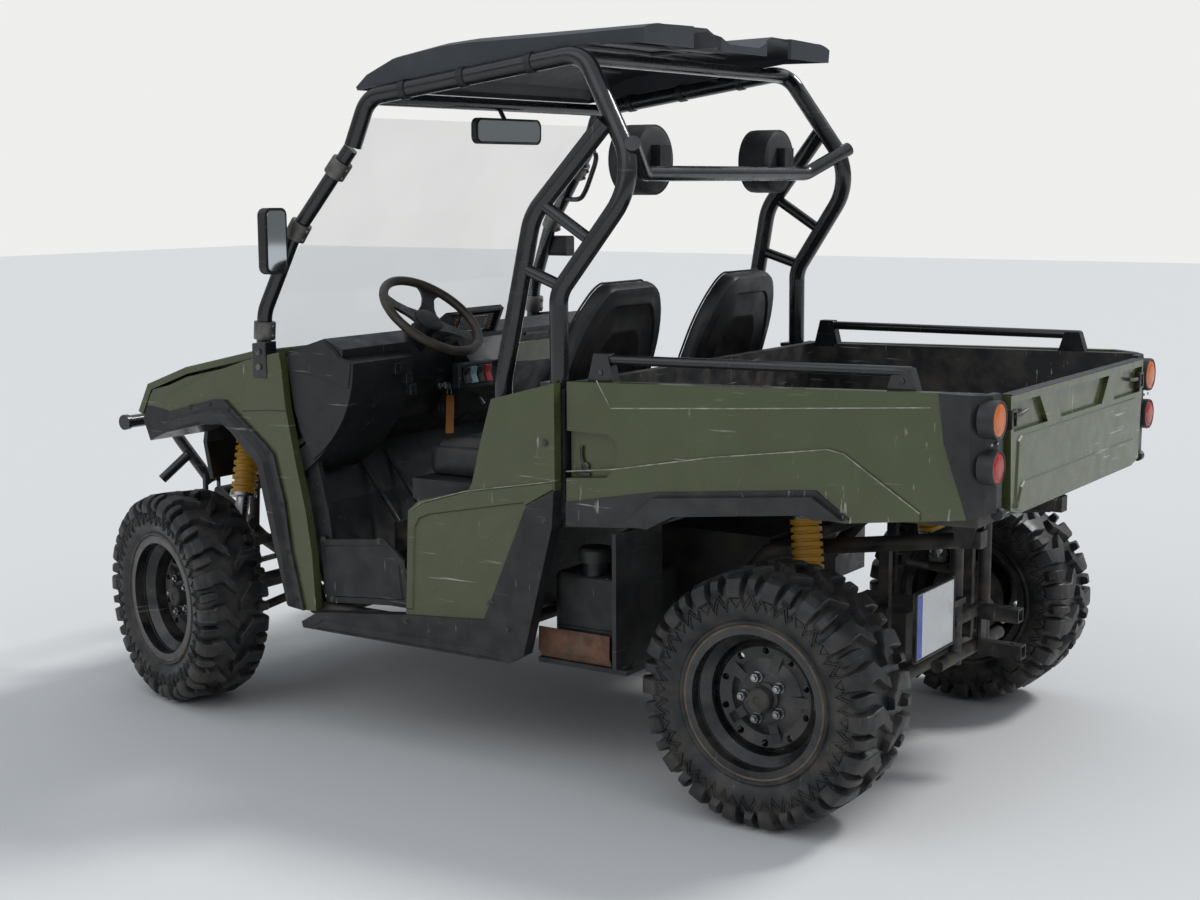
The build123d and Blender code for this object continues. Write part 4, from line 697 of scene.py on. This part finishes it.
def seats():
    """Two padded backs with piping and a pressed rear panel, and two cushions with bolsters."""
    foot, head = Vector((BACK_FOOT[0], 0, BACK_FOOT[1])), Vector((BACK_HEAD[0], 0, BACK_HEAD[1]))
    lean = (head - foot).normalized()
    turn = axes(Vector((0, 1, 0)), lean, Vector((lean.z, 0, -lean.x)))
    outline = back_outline()
    for side, name in SIDES:
        middle = side * SEAT_MIDDLE_Y
        matrix = Matrix.Translation(at(foot.x, middle, foot.z)) @ turn @ Matrix.Translation((0, 0.022, 0))
        shape = (matrix, outline, BACK_THICKNESS, 0.0, 0.026, REAR_PANEL)
        piece = single("seat_back_" + name, "vinyl", add_soft_block, *shape)
        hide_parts("seat_backs")
        share, middle_up, under = PIPING
        sewn = [(x * share, middle_up + (y - middle_up) * share, BACK_THICKNESS - under) for x, y in outline]
        line = smooth_line([matrix @ Vector(place) for place in sewn])
        single("back_piping_" + name, "vinyl", add_tube, line, 0.0032, 8)
        rear, front, corner = CUSHION_PLAN
        plan = rounded_rectangle(rear, front, -SEAT_HALF_WIDTH, SEAT_HALF_WIDTH, corner)
        place = Matrix.Translation(at(CUSHION_PLACE[0], middle, CUSHION_PLACE[1]))
        shape = (place, plan, 0.092, 0.004, 0.030)
        piece = single("seat_cushion_" + name, "vinyl", add_soft_block, *shape)
        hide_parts("seat_cushions")
        wings = bmesh.new()
        for edge in (1, -1):
            points = [at(x, middle + edge * (SEAT_HALF_WIDTH - WING_INSET), z) for x, z in WING]
            add_tube(wings, smooth_line(points), 0.021, 14)
        finished("cushion_wings_" + name, wings, "vinyl")


# Headrest pad and its two seams, columns: radius, distance forwards from the pad's rear
HEADREST_PAD = ((0.0, 0.0), (0.070, 0.0), (0.086, 0.002), (0.0925, 0.008), (0.0945, 0.018), (0.0945, 0.044),
                (0.0935, 0.049), (0.0945, 0.054), (0.0945, 0.082), (0.0920, 0.091), (0.0850, 0.0970),
                (0.070, 0.0985), (0.045, 0.0985), (0.0, 0.0985))
HEADREST_SEAMS = ((0.0915, 0.0065), (0.0905, 0.0935))


def headrests():
    """Round covered pads with a sewn edge and a front seam."""
    x, y, z = HEADREST
    for side, name in SIDES:
        place = frame_along(at(x, side * y, z), (1, 0, 0))
        piece = single("headrest_" + name, "foam", add_lathe, place, HEADREST_PAD, 72)
        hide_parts("headrests")
        seams = bmesh.new()
        for radius, ahead in HEADREST_SEAMS:
            ring = [at(x + ahead, side * y + radius * cos(a), z + radius * sin(a)) for a in angles_round(48)]
            add_tube(seams, ring, 0.0030, 8, closed=True)
        finished("headrest_seams_" + name, seams, "foam")


# Half of a spoke's outline, columns: distance from the hub's middle, half width; and the hub, radius, height
SPOKE = [(0.020, -0.034), (0.044, -0.030), (0.072, -0.021), (0.110, -0.019), (0.134, -0.025),
         (0.154, -0.040)]
SPOKE_ANGLES = (228, 134, 322)
HUB = ((0.0, -0.0615), (0.034, -0.0615), (0.034, -0.034), (0.044, -0.030), (0.046, -0.016), (0.040, -0.010),
       (0.020, -0.008), (0.0, -0.008))
SPOKE_SCREWS = (0.078, 0.104, 0.128)
SPOKE_DISH = 0.020
SPOKE_TILT = radians(-7.5)
GRIP_CIRCLE = 0.160
COLUMN_AXIS = Vector((-cos(COLUMN_RAKE), 0, sin(COLUMN_RAKE)))


def steering_wheel():
    """Worn wheel: round rim, three dished spokes, padded hub and the shaft."""
    across = Vector((0, 1, 0))
    matrix = Matrix.Translation(at(*STEERING_CENTRE)) @ axes(across, COLUMN_AXIS.cross(across), COLUMN_AXIS)
    ring = [matrix @ Vector((GRIP_CIRCLE * cos(a), GRIP_CIRCLE * sin(a), 0)) for a in angles_round(72)]
    piece = single("steering_rim", "grip", add_tube, ring, 0.0138, 14, closed=True, body="steering_wheel")
    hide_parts("steering_wheel")
    spokes = bmesh.new()
    dish = Matrix.Translation((0, 0, -SPOKE_DISH)) @ Matrix.Rotation(SPOKE_TILT, 4, "Y")
    for angle in SPOKE_ANGLES:
        arm = matrix @ Matrix.Rotation(radians(angle), 4, "Z") @ dish
        add_prism(spokes, arm, SPOKE + [(x, -y) for x, y in SPOKE[::-1]], -0.013, -0.003)
        for x in SPOKE_SCREWS:
            top = arm @ Vector((x, 0, -0.0035))
            add_cylinder(spokes, top, arm.to_3x3() @ Vector((0, 0, 1)), 0.0052, 0.0014, 16)
    finished("steering_spokes", spokes, "spoke", "steering_wheel", bevel=0.0012)
    hub = bmesh.new()
    add_lathe(hub, matrix, HUB, 40)
    add_cylinder(hub, at(*STEERING_CENTRE) - COLUMN_AXIS * 0.125, COLUMN_AXIS, 0.011, 0.07, 20)
    finished("steering_hub", hub, "black", "steering_wheel")


# Lamps

# Bezel and lens of a rear lamp, columns: radius, height; then each lamp's height, colour and relative size
BEZEL = ((0.0400, -0.010), (0.0462, -0.010), (0.0466, 0.000), (0.0452, 0.0048), (0.0420, 0.0048),
         (0.0405, 0.0010), (0.0400, -0.010))
LENS = ((0.0, 0.0), (0.0398, 0.0), (0.0395, 0.0035), (0.0330, 0.0058), (0.0310, 0.0052), (0.0290, 0.0062),
        (0.0150, 0.0074), (0.0, 0.0078))
REAR_LAMPS = ((1.035, "amber", 1.0), (0.922, "red", 0.91))
LAMP_PLACE = (-0.5302, 0.584)
PAD_SCREWS = ((-0.5222, 0.566, 0.978), (-0.5222, 0.602, 0.978))


def rear_lamps():
    """Bezels with round amber and red lenses at the bed's rear corners."""
    for side, name in SIDES:
        for z, colour, scale in REAR_LAMPS:
            backwards = frame_along(at(LAMP_PLACE[0], side * LAMP_PLACE[1], z), (-1, 0, 0))
            lamp = "_%s_%s" % (colour, name)
            bezel, glass = [[(r * scale, height) for r, height in rows] for rows in (BEZEL, LENS)]
            single("bezel" + lamp, "trim", add_lathe, backwards, bezel, 56, body="bed")
            piece = single("lens" + lamp, colour, add_lathe, backwards, glass, 56, body="bed")
            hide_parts("tail_lamps")
        screws = bmesh.new()
        for place in route(PAD_SCREWS, side):
            add_cylinder(screws, place, (-1, 0, 0), 0.0042, 0.0022, 14, 0.001)
        finished("pad_screws_" + name, screws, "steel", "bed")


# Cab details

# Push rivet, a dished head with a centre pin, columns: radius, height
RIVET = ((0.0, -0.001), (0.0075, -0.001), (0.0075, 0.0006), (0.0060, 0.0022), (0.0039, 0.0024),
         (0.00345, 0.0012), (0.0030, 0.0022), (0.0, 0.0026))
# Places on each side, columns: x, y, z
RIVETS = ((1.950, 0.742, 0.923), (1.868, 0.742, 0.937), (1.790, 0.742, 0.926), (1.716, 0.742, 0.874),
          (1.640, 0.742, 0.808), (1.592, 0.742, 0.660), (1.568, 0.742, 0.520), (1.538, 0.742, 0.384),
          (1.570, 0.6897, 1.010), (1.548, 0.6897, 0.915), (1.520, 0.6897, 0.820), (1.497, 0.6897, 0.720),
          (1.478, 0.6897, 0.610), (1.458, 0.6897, 0.480))
BOLTS = ((0.650, 0.736, 0.912), (0.652, 0.742, 0.700), (0.775, 0.742, 0.394), (1.128, 0.742, 0.372),
         (0.834, 0.742, 0.458), (1.470, 0.701, 0.560), (1.255, 0.701, 0.578), (1.166, 0.701, 0.500),
         (1.440, 0.701, 0.386))


def fixings():
    """Push rivets on the mouldings and bolts on the side panels."""
    for side, name in SIDES:
        outwards = (0, side, 0)
        rivets = bmesh.new()
        for place in route(RIVETS, side):
            add_lathe(rivets, frame_along(place, outwards), RIVET, 20)
        finished("rivets_" + name, rivets, "black")
        bolts = bmesh.new()
        for x, y, z in BOLTS:
            foot = at(x, side * (y - 0.001), z)
            add_cylinder(bolts, foot, outwards, 0.0105, 0.0025, 28, 0.0008)
            add_cylinder(bolts, foot, outwards, 0.0062, 0.0062, 20, 0.0016)
        finished("panel_bolts_" + name, bolts, "bolt")


# Clamp collars of the windscreen pillars, columns: place, direction of the tube there
COLLARS = (((1.452, 0.613, 1.629), (0.188, 0.046, -0.251)), ((1.583, 0.646, 1.452), (0.140, 0.038, -0.234)),
           ((1.694, 0.681, 1.160), (0.013, 0.002, -0.174)))
# A collar's band, columns: radius, height
BAND = ((0.0295, 0.0), (0.0312, 0.0008), (0.0318, 0.003), (0.0318, 0.050), (0.0312, 0.0522), (0.0295, 0.053))
BAND_LENGTH = 0.053
# Bracket at a pillar's foot, its outline in x and z, and its bolts, columns: x, y, z
PILLAR_FOOT = ((1.640, 1.026), (1.694, 1.024), (1.694, 1.126), (1.640, 1.132))
PILLAR_BOLTS = ((1.667, 0.7370, 1.058), (1.667, 0.7370, 1.102))


def collars():
    """Bare metal bands and clamp bolts on the windscreen pillars, and the brackets at their feet."""
    for side, name in SIDES:
        bands = bmesh.new()
        for place, (x, y, z) in COLLARS:
            along = Vector((x, side * y, z)).normalized()
            centre = route([place], side)[0]
            add_lathe(bands, frame_along(centre - along * BAND_LENGTH / 2, along), BAND, 40)
            rear = Vector((-1, 0, 0)).cross(along).cross(along).normalized() * -1
            for step in (-0.014, 0.014):
                add_hex(bands, centre + along * step + rear * 0.030, rear, 0.010, 0.0075)
        finished("clamps_" + name, bands, "clamp")
        shape = (SIDE_VIEW, PILLAR_FOOT, side * 0.6900, side * 0.7375)
        single("pillar_foot_" + name, "cage", add_prism, *shape, bevel=0.003)
        foot = bmesh.new()
        for place in route(PILLAR_BOLTS, side):
            add_cylinder(foot, place, (0, side, 0), 0.0095, 0.006, 20, 0.0015)
        finished("pillar_bolts_" + name, foot, "clamp")


def mirror_glass():
    """Glass of the outer mirror and of the inside mirror."""
    outer = rounded_rectangle(0.7120, 0.7860, 1.3380, 1.5100, 0.016)
    single("outer_mirror_glass", "mirror", add_prism, END_VIEW, outer, 1.5690, 1.5755, bevel=0.001)
    inner = rounded_rectangle(-0.161, 0.161, 1.7095, 1.7725, 0.019)
    single("inside_mirror_glass", "mirror", add_prism, END_VIEW, inner, 1.2928, 1.2945)
    rim = [at(1.2940, y, z) for y, z in rounded_rectangle(-0.163, 0.163, 1.7075, 1.7745, 0.021)]
    single("inside_mirror_rim", "black", add_tube, rim, 0.0028, 8, closed=True)


# Outer end of the dashboard in x and z: the three points that draw its lower curve, the rest of its outline,
# and its raised upper field
DASH_CURVE = ((1.331, 1.081), (1.335, 0.905), (1.492, 0.795))
DASH_END = ((1.506, 0.820), (1.537, 0.870), (1.561, 0.940), (1.577, 1.046), (1.584, 1.094), (1.440, 1.1435),
            (1.396, 1.118), (1.382, 1.0995))
DASH_FIELD = ((1.338, 1.0815), (1.345, 1.030), (1.350, 1.010), (1.470, 1.040), (1.566, 1.052),
              (1.574, 1.094), (1.440, 1.139), (1.398, 1.114), (1.384, 1.0955))


def dash_sides():
    """Closed outer ends of the dashboard's pods, with a raised upper field."""
    arc = []
    for t in [k / 14 for k in range(15)]:
        shares = ((1 - t) ** 2, 2 * t * (1 - t), t * t)
        arc.append([sum(share * point[i] for share, point in zip(shares, DASH_CURVE)) for i in (0, 1)])
    for side, name in SIDES:
        cover = bmesh.new()
        add_prism(cover, SIDE_VIEW, arc + list(DASH_END), side * 0.6985, side * 0.7100)
        add_prism(cover, SIDE_VIEW, DASH_FIELD, side * 0.7095, side * 0.7128)
        finished("dash_end_" + name, cover, "black", bevel=0.0028)


# Slope of the instrument's face, lower and upper edge in x and z, and its middle across
CLUSTER_LOW = Vector((1.3785, 0, 1.1265))
CLUSTER_HIGH = Vector((1.3555, 0, 1.1835))
CLUSTER_Y = 0.1075
# Rocker switches in the middle stack from left to right, columns: y, material; and their outline in x and z
SWITCHES = ((0.2130, "switch"), (0.1770, "pale"), (0.1410, "switch"), (0.1050, "signal"))
ROCKER = ((1.3200, 0.9800), (1.3200, 1.0300), (1.3055, 1.0300), (1.3110, 1.0060), (1.3010, 0.9800))
ROCKER_HALF = 0.0145
# Switches on the driver's pod, columns: y, z
POD_SWITCHES = ((0.520, 1.052), (0.470, 1.020), (0.452, 0.985))
KEY_Y = 0.214
LID_TILT = -5.2
GLOVE_LID = ((-0.108, -0.036), (0.108, -0.030), (0.108, 0.034), (-0.108, 0.034))
GLOVE_HANDLE = ((-0.070, -0.005), (0.064, -0.005), (0.056, 0.005), (-0.058, 0.005))
STALK = ((1.388, 0.330, 1.105), (1.372, 0.285, 1.112), (1.362, 0.255, 1.116))


def facing(x, y, z, degrees, axis):
    """Matrix for an outline drawn from behind at a place, tilted about an axis."""
    return Matrix.Translation(at(x, y, z)) @ Matrix.Rotation(radians(degrees), 4, axis) @ ACROSS_UP


def instrument():
    """Board, display, frame and warning lamps of the instrument."""
    rise = (CLUSTER_HIGH - CLUSTER_LOW).normalized()
    normal = Vector((-rise.z, 0, rise.x))
    centre = (CLUSTER_LOW + CLUSTER_HIGH) / 2
    place = Matrix.Translation(at(centre.x, CLUSTER_Y, centre.z)) @ axes(Vector((0, 1, 0)), rise, normal)
    board, display = centred(0.111, 0.029, 0.008), centred(0.062, 0.021, 0.006)
    single("cluster_board", "switch", add_prism, place, board, -0.004, 0.0, bevel=0.0008)
    single("cluster_display", "display", add_prism, place, display, -0.001, 0.0022, bevel=0.0006)
    ring = [place @ Vector((x, y, 0.0012)) for x, y in centred(0.066, 0.0245, 0.008)]
    single("cluster_frame", "steel", add_tube, ring, 0.0021, 8, closed=True)
    lamps = bmesh.new()
    for k in range(4):
        for side in (1, -1):
            foot = place @ Vector((side * 0.088, -0.0175 + 0.0115 * k, 0.0))
            add_cylinder(lamps, foot, place.to_3x3() @ Vector((0, 0, 1)), 0.0036, 0.0014, 14, 0.0005)
    finished("cluster_lamps", lamps, "amber")


def dash_details():
    """Instrument, rocker switches, key with its tag, glove box lid with its handle, and column stalk."""
    instrument()
    housing = ((1.3165, 1.3480), (0.074, 0.240), (0.9640, 1.0440))
    single("switch_housing", "black", add_box, *housing, bevel=0.005)
    bezel = [at(1.3160, y, z) for y, z in rounded_rectangle(0.0830, 0.2350, 0.9740, 1.0360, 0.008)]
    single("switch_bezel", "trim", add_tube, bezel, 0.0022, 8, closed=True)
    for i, (y, colour) in enumerate(SWITCHES):
        rocker = (SIDE_VIEW, ROCKER, y - ROCKER_HALF, y + ROCKER_HALF)
        single("rocker_switch_%d" % i, colour, add_prism, *rocker, bevel=0.0016)
    pod = bmesh.new()
    for y, z in POD_SWITCHES:
        add_box(pod, (1.3225, 1.345), (y - 0.013, y + 0.013), (z - 0.017, z + 0.017))
    finished("pod_switches", pod, "switch", bevel=0.003)
    key = bmesh.new()
    add_cylinder(key, at(1.4130, KEY_Y, 0.968), (-1, 0, 0.15), 0.019, 0.014, 28, 0.0025)
    add_cylinder(key, at(1.4000, KEY_Y, 0.970), (-1, 0, 0.15), 0.0115, 0.006, 24, 0.001)
    add_box(key, (1.3720, 1.3960), (KEY_Y - 0.0015, KEY_Y + 0.0015), (0.959, 0.981))
    finished("key_switch", key, "steel", bevel=0.0006)
    ring = [at(1.3775, KEY_Y + 0.0105 * sin(a), 0.951 + 0.0125 * cos(a)) for a in angles_round(24)]
    single("key_ring", "steel", add_tube, ring, 0.0010, 8, closed=True)
    tag = (facing(1.3765, KEY_Y + 0.0005, 0.881, 4, "X"), centred(0.0185, 0.059, 0.004), -0.0011, 0.0011)
    single("key_tag", "orange", add_prism, *tag, bevel=0.0005)
    lid = (facing(1.3783, -0.228, 1.0425, LID_TILT, "Y"), GLOVE_LID, -0.0055, 0.002)
    single("glove_box_lid", "green", add_prism, *lid, bevel=0.003)
    handle = (facing(1.3723, -0.238, 1.1000, LID_TILT, "Y"), GLOVE_HANDLE, -0.0035, 0.002)
    single("glove_box_handle", "switch", add_prism, *handle, bevel=0.0015)
    stalk = bmesh.new()
    add_tube(stalk, smooth_line(route(STALK)), 0.006, 12)
    add_cylinder(stalk, at(1.364, 0.262, 1.1150), (-0.25, -0.9, 0.15), 0.0085, 0.026, 20, 0.003)
    finished("column_stalk", stalk, "switch")


def column_parts():
    """Bellows round the steering column's joint."""
    profile = [(0.026, 0.0)]
    for fold in [0.014 * k for k in range(5)]:
        profile += [(0.040, 0.008 + fold), (0.040, 0.011 + fold), (0.029, 0.015 + fold)]
    profile += [(0.033, 0.082), (0.0, 0.082)]
    place = frame_along(at(*STEERING_CENTRE) - COLUMN_AXIS * 0.145, COLUMN_AXIS)
    single("column_bellows", "black", add_lathe, place, profile, 36)


# Cage, roof, panels and bed

# Height of the roof sheet at its sides and along its middle, columns: x, z
ROOF_SIDE = ((0.640, 1.9713), (0.735, 1.9673), (1.000, 1.9613), (1.093, 1.9543), (1.252, 1.9273),
             (1.350, 1.8873))
ROOF_MIDDLE = ((0.640, 1.9953), (0.735, 1.9933), (1.000, 1.9853), (1.093, 1.9773), (1.252, 1.9493),
               (1.350, 1.9013))
RIB_RADIUS = 0.0085
ROOF_HALF = 0.484
ROOF_FALL = 0.32
# Left rail that carries the roof: its rear end, and the way from there to its front end
RAIL_REAR = (0.636, 0.566, 1.922)
RAIL_WAY = (0.716, 0.026, -0.096)
# Saddle round a rail, columns: radius, place along the rail
SADDLE = ((0.0252, 0.0), (0.0285, 0.001), (0.0285, 0.021), (0.0252, 0.022))


def under_roof(x, y, share, gap):
    """Point at a gap under the roof sheet, where the sheet has fallen by a share of its whole fall."""
    top = between(ROOF_MIDDLE, x)
    return at(x, y, top - gap - share * ROOF_FALL * (top - between(ROOF_SIDE, x)))


def roof_ribs():
    """Cross and long ribs under the roof sheet, and tube saddles along its sides."""
    ribs = bmesh.new()
    for x in (0.80, 0.93, 1.06, 1.19):
        ys = [0.078 * k for k in range(-6, 7)]
        line = [under_roof(x, y, (abs(y) / ROOF_HALF) ** 2, 0.012) for y in ys]
        add_tube(ribs, smooth_line(line), RIB_RADIUS, 8)
    for y in (-0.24, 0.24):
        line = [under_roof(x, y, 0.25, 0.0135) for x in (0.78, 0.90, 1.0, 1.1, 1.2)]
        add_tube(ribs, smooth_line(line), RIB_RADIUS, 8)
    finished("roof_ribs", ribs, "roof")
    saddles = bmesh.new()
    for side in (1, -1):
        along = Vector((RAIL_WAY[0], side * RAIL_WAY[1], RAIL_WAY[2])).normalized()
        for x in (0.80, 1.02, 1.22):
            t = (x - RAIL_REAR[0]) / RAIL_WAY[0]
            centre = at(x, side * (RAIL_REAR[1] + RAIL_WAY[1] * t), RAIL_REAR[2] + RAIL_WAY[2] * t)
            add_lathe(saddles, frame_along(centre - along * 0.011, along), SADDLE, 36)
    finished("roof_saddles", saddles, "black")


# Outer half width of the bed, columns: x, y
BED_PLAN = ((0.602, 0.706), (0.200, 0.682), (-0.400, 0.640), (-0.520, 0.622))
# Lines on each side, columns: x, z. The crease, shoulder and seat panel lines are pale, partly edge wear and
# partly a painted highlight where the creases catch the light; the fender seam is a dark joint
BED_CREASE = ((0.602, 0.836), (0.467, 0.851), (0.181, 0.903), (-0.131, 0.945), (-0.172, 0.937),
              (-0.366, 0.808))
BED_SHOULDER = ((0.512, 1.080), (0.470, 1.010), (0.100, 1.031), (-0.385, 1.061))
SEAT_PANEL_EDGE = ((0.624, 0.8118), (0.914, 0.7598), (1.066, 0.7148), (1.103, 0.6898))
FENDER_SEAM = ((1.744, 0.923), (1.656, 0.931), (1.566, 0.935))
SEAT_PANEL_Y = 0.7416
FENDER_Y = 0.7334
# Pale lines of the bed, partly edge wear and partly painted highlight, columns: line, how far it stands out,
# how far it is raised
BED_LINES = ((BED_CREASE, 0.0046, 0.0004), (BED_SHOULDER, 0.0006, 0.0))


def panel_lines():
    """Pale lines along the creases of the bed sides and seat panels, partly edge wear and partly painted
    highlight, and the dark fender seam.
    """
    for side, name in SIDES:
        bed = bmesh.new()
        for line, stand, lift in BED_LINES:
            points = [at(x, side * (between(BED_PLAN, x) + stand), z + lift) for x, z in line]
            add_bead(bed, points, 0.0017)
        finished("bed_crease_wear_and_highlight_" + name, bed, "edge", "bed")
        # Pale seat panel line: partly edge wear, partly a painted highlight along the panel's step
        edge = [at(x, side * SEAT_PANEL_Y, z) for x, z in SEAT_PANEL_EDGE]
        single("seat_panel_wear_and_highlight_" + name, "edge", add_bead, edge, 0.0013)
        seam = [at(x, side * FENDER_Y, z) for x, z in FENDER_SEAM]
        single("fender_seam_" + name, "switch", add_bead, seam, 0.0013)


# Outlines beside the bonnet in x and z: the fender's shoulder up to the bonnet, and the lamp unit's side
SHOULDER = ((1.720, 1.070), (1.806, 1.050), (1.997, 1.008), (2.157, 0.948), (2.176, 0.912), (2.102, 0.905),
            (2.015, 0.953), (1.939, 0.989), (1.873, 1.019), (1.772, 1.050), (1.726, 1.066))
LAMP_SIDE = ((2.050, 0.850), (2.062, 0.848), (2.168, 0.801), (2.196, 0.868), (2.177, 0.909), (2.050, 0.909))


def nose_sides():
    """Closed shoulders between the bonnet and the fenders, and black outer sides of the lamp units."""
    for side, name in SIDES:
        inner = side * 0.6990
        single("fender_shoulder_" + name, "green", add_prism, SIDE_VIEW, SHOULDER, inner, side * 0.7066)
        single("lamp_side_" + name, "black", add_prism, SIDE_VIEW, LAMP_SIDE, inner, side * 0.7062)


GRAB_HANDLE = ((1.424, 0.607, 1.684), (1.378, 0.588, 1.690), (1.360, 0.582, 1.664), (1.380, 0.581, 1.606),
               (1.408, 0.583, 1.550), (1.440, 0.592, 1.528), (1.524, 0.630, 1.528))


def grab_handle():
    """Passenger's handle on the right windscreen pillar."""
    single("grab_handle", "cage", add_tube, smooth_line(route(GRAB_HANDLE, -1)), 0.0085, 14)


LEVER = ((0.5664, 0.690, 0.904), (0.5668, 0.690, 0.880), (0.5600, 0.690, 0.852))
RAIL_BOLTS = ((0.520, 0.6695, 1.097), (-0.300, 0.6155, 1.116))


def bed_fittings():
    """Release lever in its recess, and stanchion bolts."""
    for side, name in SIDES:
        lever = bmesh.new()
        add_tube(lever, smooth_line(route(LEVER, side)), 0.0042, 10)
        add_cylinder(lever, at(0.5560, side * 0.680, 0.850), (0, side, 0), 0.0125, 0.012, 28, 0.003)
        add_box(lever, (0.542, 0.592), (0.680, 0.690), (0.827, 0.834), side)
        finished("bed_lever_" + name, lever, "bolt", "bed")
        bolts = bmesh.new()
        for place in route(RAIL_BOLTS, side):
            add_cylinder(bolts, place, (0, side, 0), 0.0075, 0.004, 20, 0.001)
        finished("rail_bolts_" + name, bolts, "bolt", "bed")


# Latch in the gate's outer pocket: its span in x, its frame's spans in y and z, and its pull's route
LATCH_DEPTH = (-0.5370, -0.5215)
LATCH_FRAME = (((0.476, 0.512), (1.0040, 1.0105)), ((0.476, 0.512), (1.0435, 1.0500)),
               ((0.4760, 0.4825), (1.0100, 1.0440)), ((0.5055, 0.5120), (1.0100, 1.0440)))
GATE_PULL = ((-0.5290, 0.484, 1.032), (-0.5295, 0.440, 1.033), (-0.5300, 0.398, 1.039))


def gate_fittings():
    """Cap strip on the tailgate, hooked latches in its outer pockets and their strikers."""
    cap = ((-0.5335, -0.5045), (-0.506, 0.506), (1.0835, 1.0875))
    single("gate_cap", "trim", add_box, *cap, body="tailgate", bevel=0.0018)
    for side, name in SIDES:
        latch = bmesh.new()
        for ys, zs in LATCH_FRAME:
            add_box(latch, LATCH_DEPTH, ys, zs, side)
        add_box(latch, (-0.5290, -0.5215), (0.482, 0.507), (1.0180, 1.0360), side)
        finished("gate_latch_" + name, latch, "bolt", "tailgate", bevel=0.0012)
        pull = smooth_line(route(GATE_PULL, side))
        single("gate_handle_" + name, "clamp", add_tube, pull, 0.0052, 12, body="tailgate")
        striker = ((-0.5268, -0.5215), (0.530, 0.548), (1.020, 1.042), side)
        single("gate_striker_" + name, "bolt", add_box, *striker, body="bed", bevel=0.001)


def plate_details():
    """Blue band of the blank plate and its black carrier frame."""
    single("plate_band", "blue", add_box, (-0.2674, -0.2664), (0.3850, 0.4180), (0.3850, 0.5490))
    carrier = [at(-0.2664, y, z) for y, z in rounded_rectangle(0.1775, 0.4225, 0.3795, 0.5545, 0.006)]
    single("plate_carrier", "black", add_tube, carrier, 0.0036, 8, closed=True)


# Section of the tank's guard in y and z, and the places along x where it stands
GUARD = ((0.6525, 0.392), (0.6555, 0.392), (0.6575, 0.330), (0.6440, 0.306), (0.6410, 0.306),
         (0.6545, 0.331))
GUARD_PLACES = (0.505, 0.64, 0.735)


def tank_guard():
    """Rusty outer guard plate under the fuel tank."""
    guard = bmesh.new()
    rings = [[guard.verts.new(at(x, y, z)) for y, z in GUARD] for x in GUARD_PLACES]
    bridge(guard, rings)
    close_ends(guard, rings)
    finished("tank_guard_left", guard, "rust", bevel=0.0008)


# Camera, floor and light

def camera():
    """The photograph's camera."""
    data = bpy.data.cameras.new("camera")
    data.lens = CAMERA_LENS
    data.sensor_width = 36.0
    data.clip_end = 60.0
    eye = bpy.data.objects.new("camera", data)
    flat = cos(CAMERA_PITCH)
    ahead = Vector((sin(CAMERA_YAW) * flat, -cos(CAMERA_YAW) * flat, -sin(CAMERA_PITCH)))
    level = Vector((-cos(CAMERA_YAW), -sin(CAMERA_YAW), 0))
    above = level.cross(ahead)
    right = level * cos(CAMERA_ROLL) + above * sin(CAMERA_ROLL)
    up = above * cos(CAMERA_ROLL) - level * sin(CAMERA_ROLL)
    eye.matrix_world = Matrix.Translation(CAMERA_PLACE) @ axes(right, up, -ahead)
    bpy.context.scene.collection.objects.link(eye)
    bpy.context.scene.camera = eye


# Sun lamps, columns: name, strength, width in degrees, turn in degrees
LIGHTS = (("key", 1.65, 12.0, (42.0, 6.0, -38.0)), ("fill", 0.35, 50.0, (58.0, 0.0, 165.0)))
FLOOR_COLOUR = (0.70, 0.70, 0.69, 1)
GROUND_GLOW = (0.10, 0.11, 0.10)
SKY_GLOW = (0.62, 0.66, 0.72)
BACKDROP = (0.86, 0.86, 0.85)


def studio():
    """Pale floor, pale surroundings and soft light."""
    floor = bmesh.new()
    bmesh.ops.create_grid(floor, x_segments=1, y_segments=1, size=30.0)
    data = bpy.data.meshes.new("floor")
    floor.to_mesh(data)
    floor.free()
    ground = bpy.data.objects.new("floor", data)
    bpy.context.scene.collection.objects.link(ground)
    data.materials.append(Shader("floor", Base_Color=FLOOR_COLOUR, Roughness=0.9).material)
    world = bpy.data.worlds.new("studio")
    bpy.context.scene.world = world
    world.use_nodes = True
    w = Nodes(world.node_tree)
    upwards = w.node("SeparateXYZ", {0: w.node("TexCoord").outputs["Generated"]})
    sky = w.remap(upwards.outputs["Z"], -0.05, 0.75, 0.16, 1.0, interpolation_type="SMOOTHSTEP")
    ray = w.node("LightPath").outputs
    direct = w.maths("MAXIMUM", ray["Is Camera Ray"], ray["Is Transmission Ray"])
    seen = w.mix(direct, w.mix(sky, GROUND_GLOW, SKY_GLOW), BACKDROP)
    w.links.new(seen, w.nodes["Background"].inputs["Color"])
    for name, strength, width, turn in LIGHTS:
        light = bpy.data.lights.new(name, "SUN")
        light.energy = strength
        light.angle = radians(width)
        lamp = bpy.data.objects.new(name, light)
        lamp.rotation_euler = [radians(a) for a in turn]
        bpy.context.scene.collection.objects.link(lamp)
    bpy.context.scene.view_settings.view_transform = "Standard"


camera()
studio()
dress_nodes()
tyres()
rim_marks()
wheel_fittings()
seats()
headrests()
steering_wheel()
rear_lamps()
fixings()
collars()
mirror_glass()
dash_sides()
dash_details()
column_parts()
roof_ribs()
panel_lines()
nose_sides()
grab_handle()
bed_fittings()
gate_fittings()
plate_details()
tank_guard()
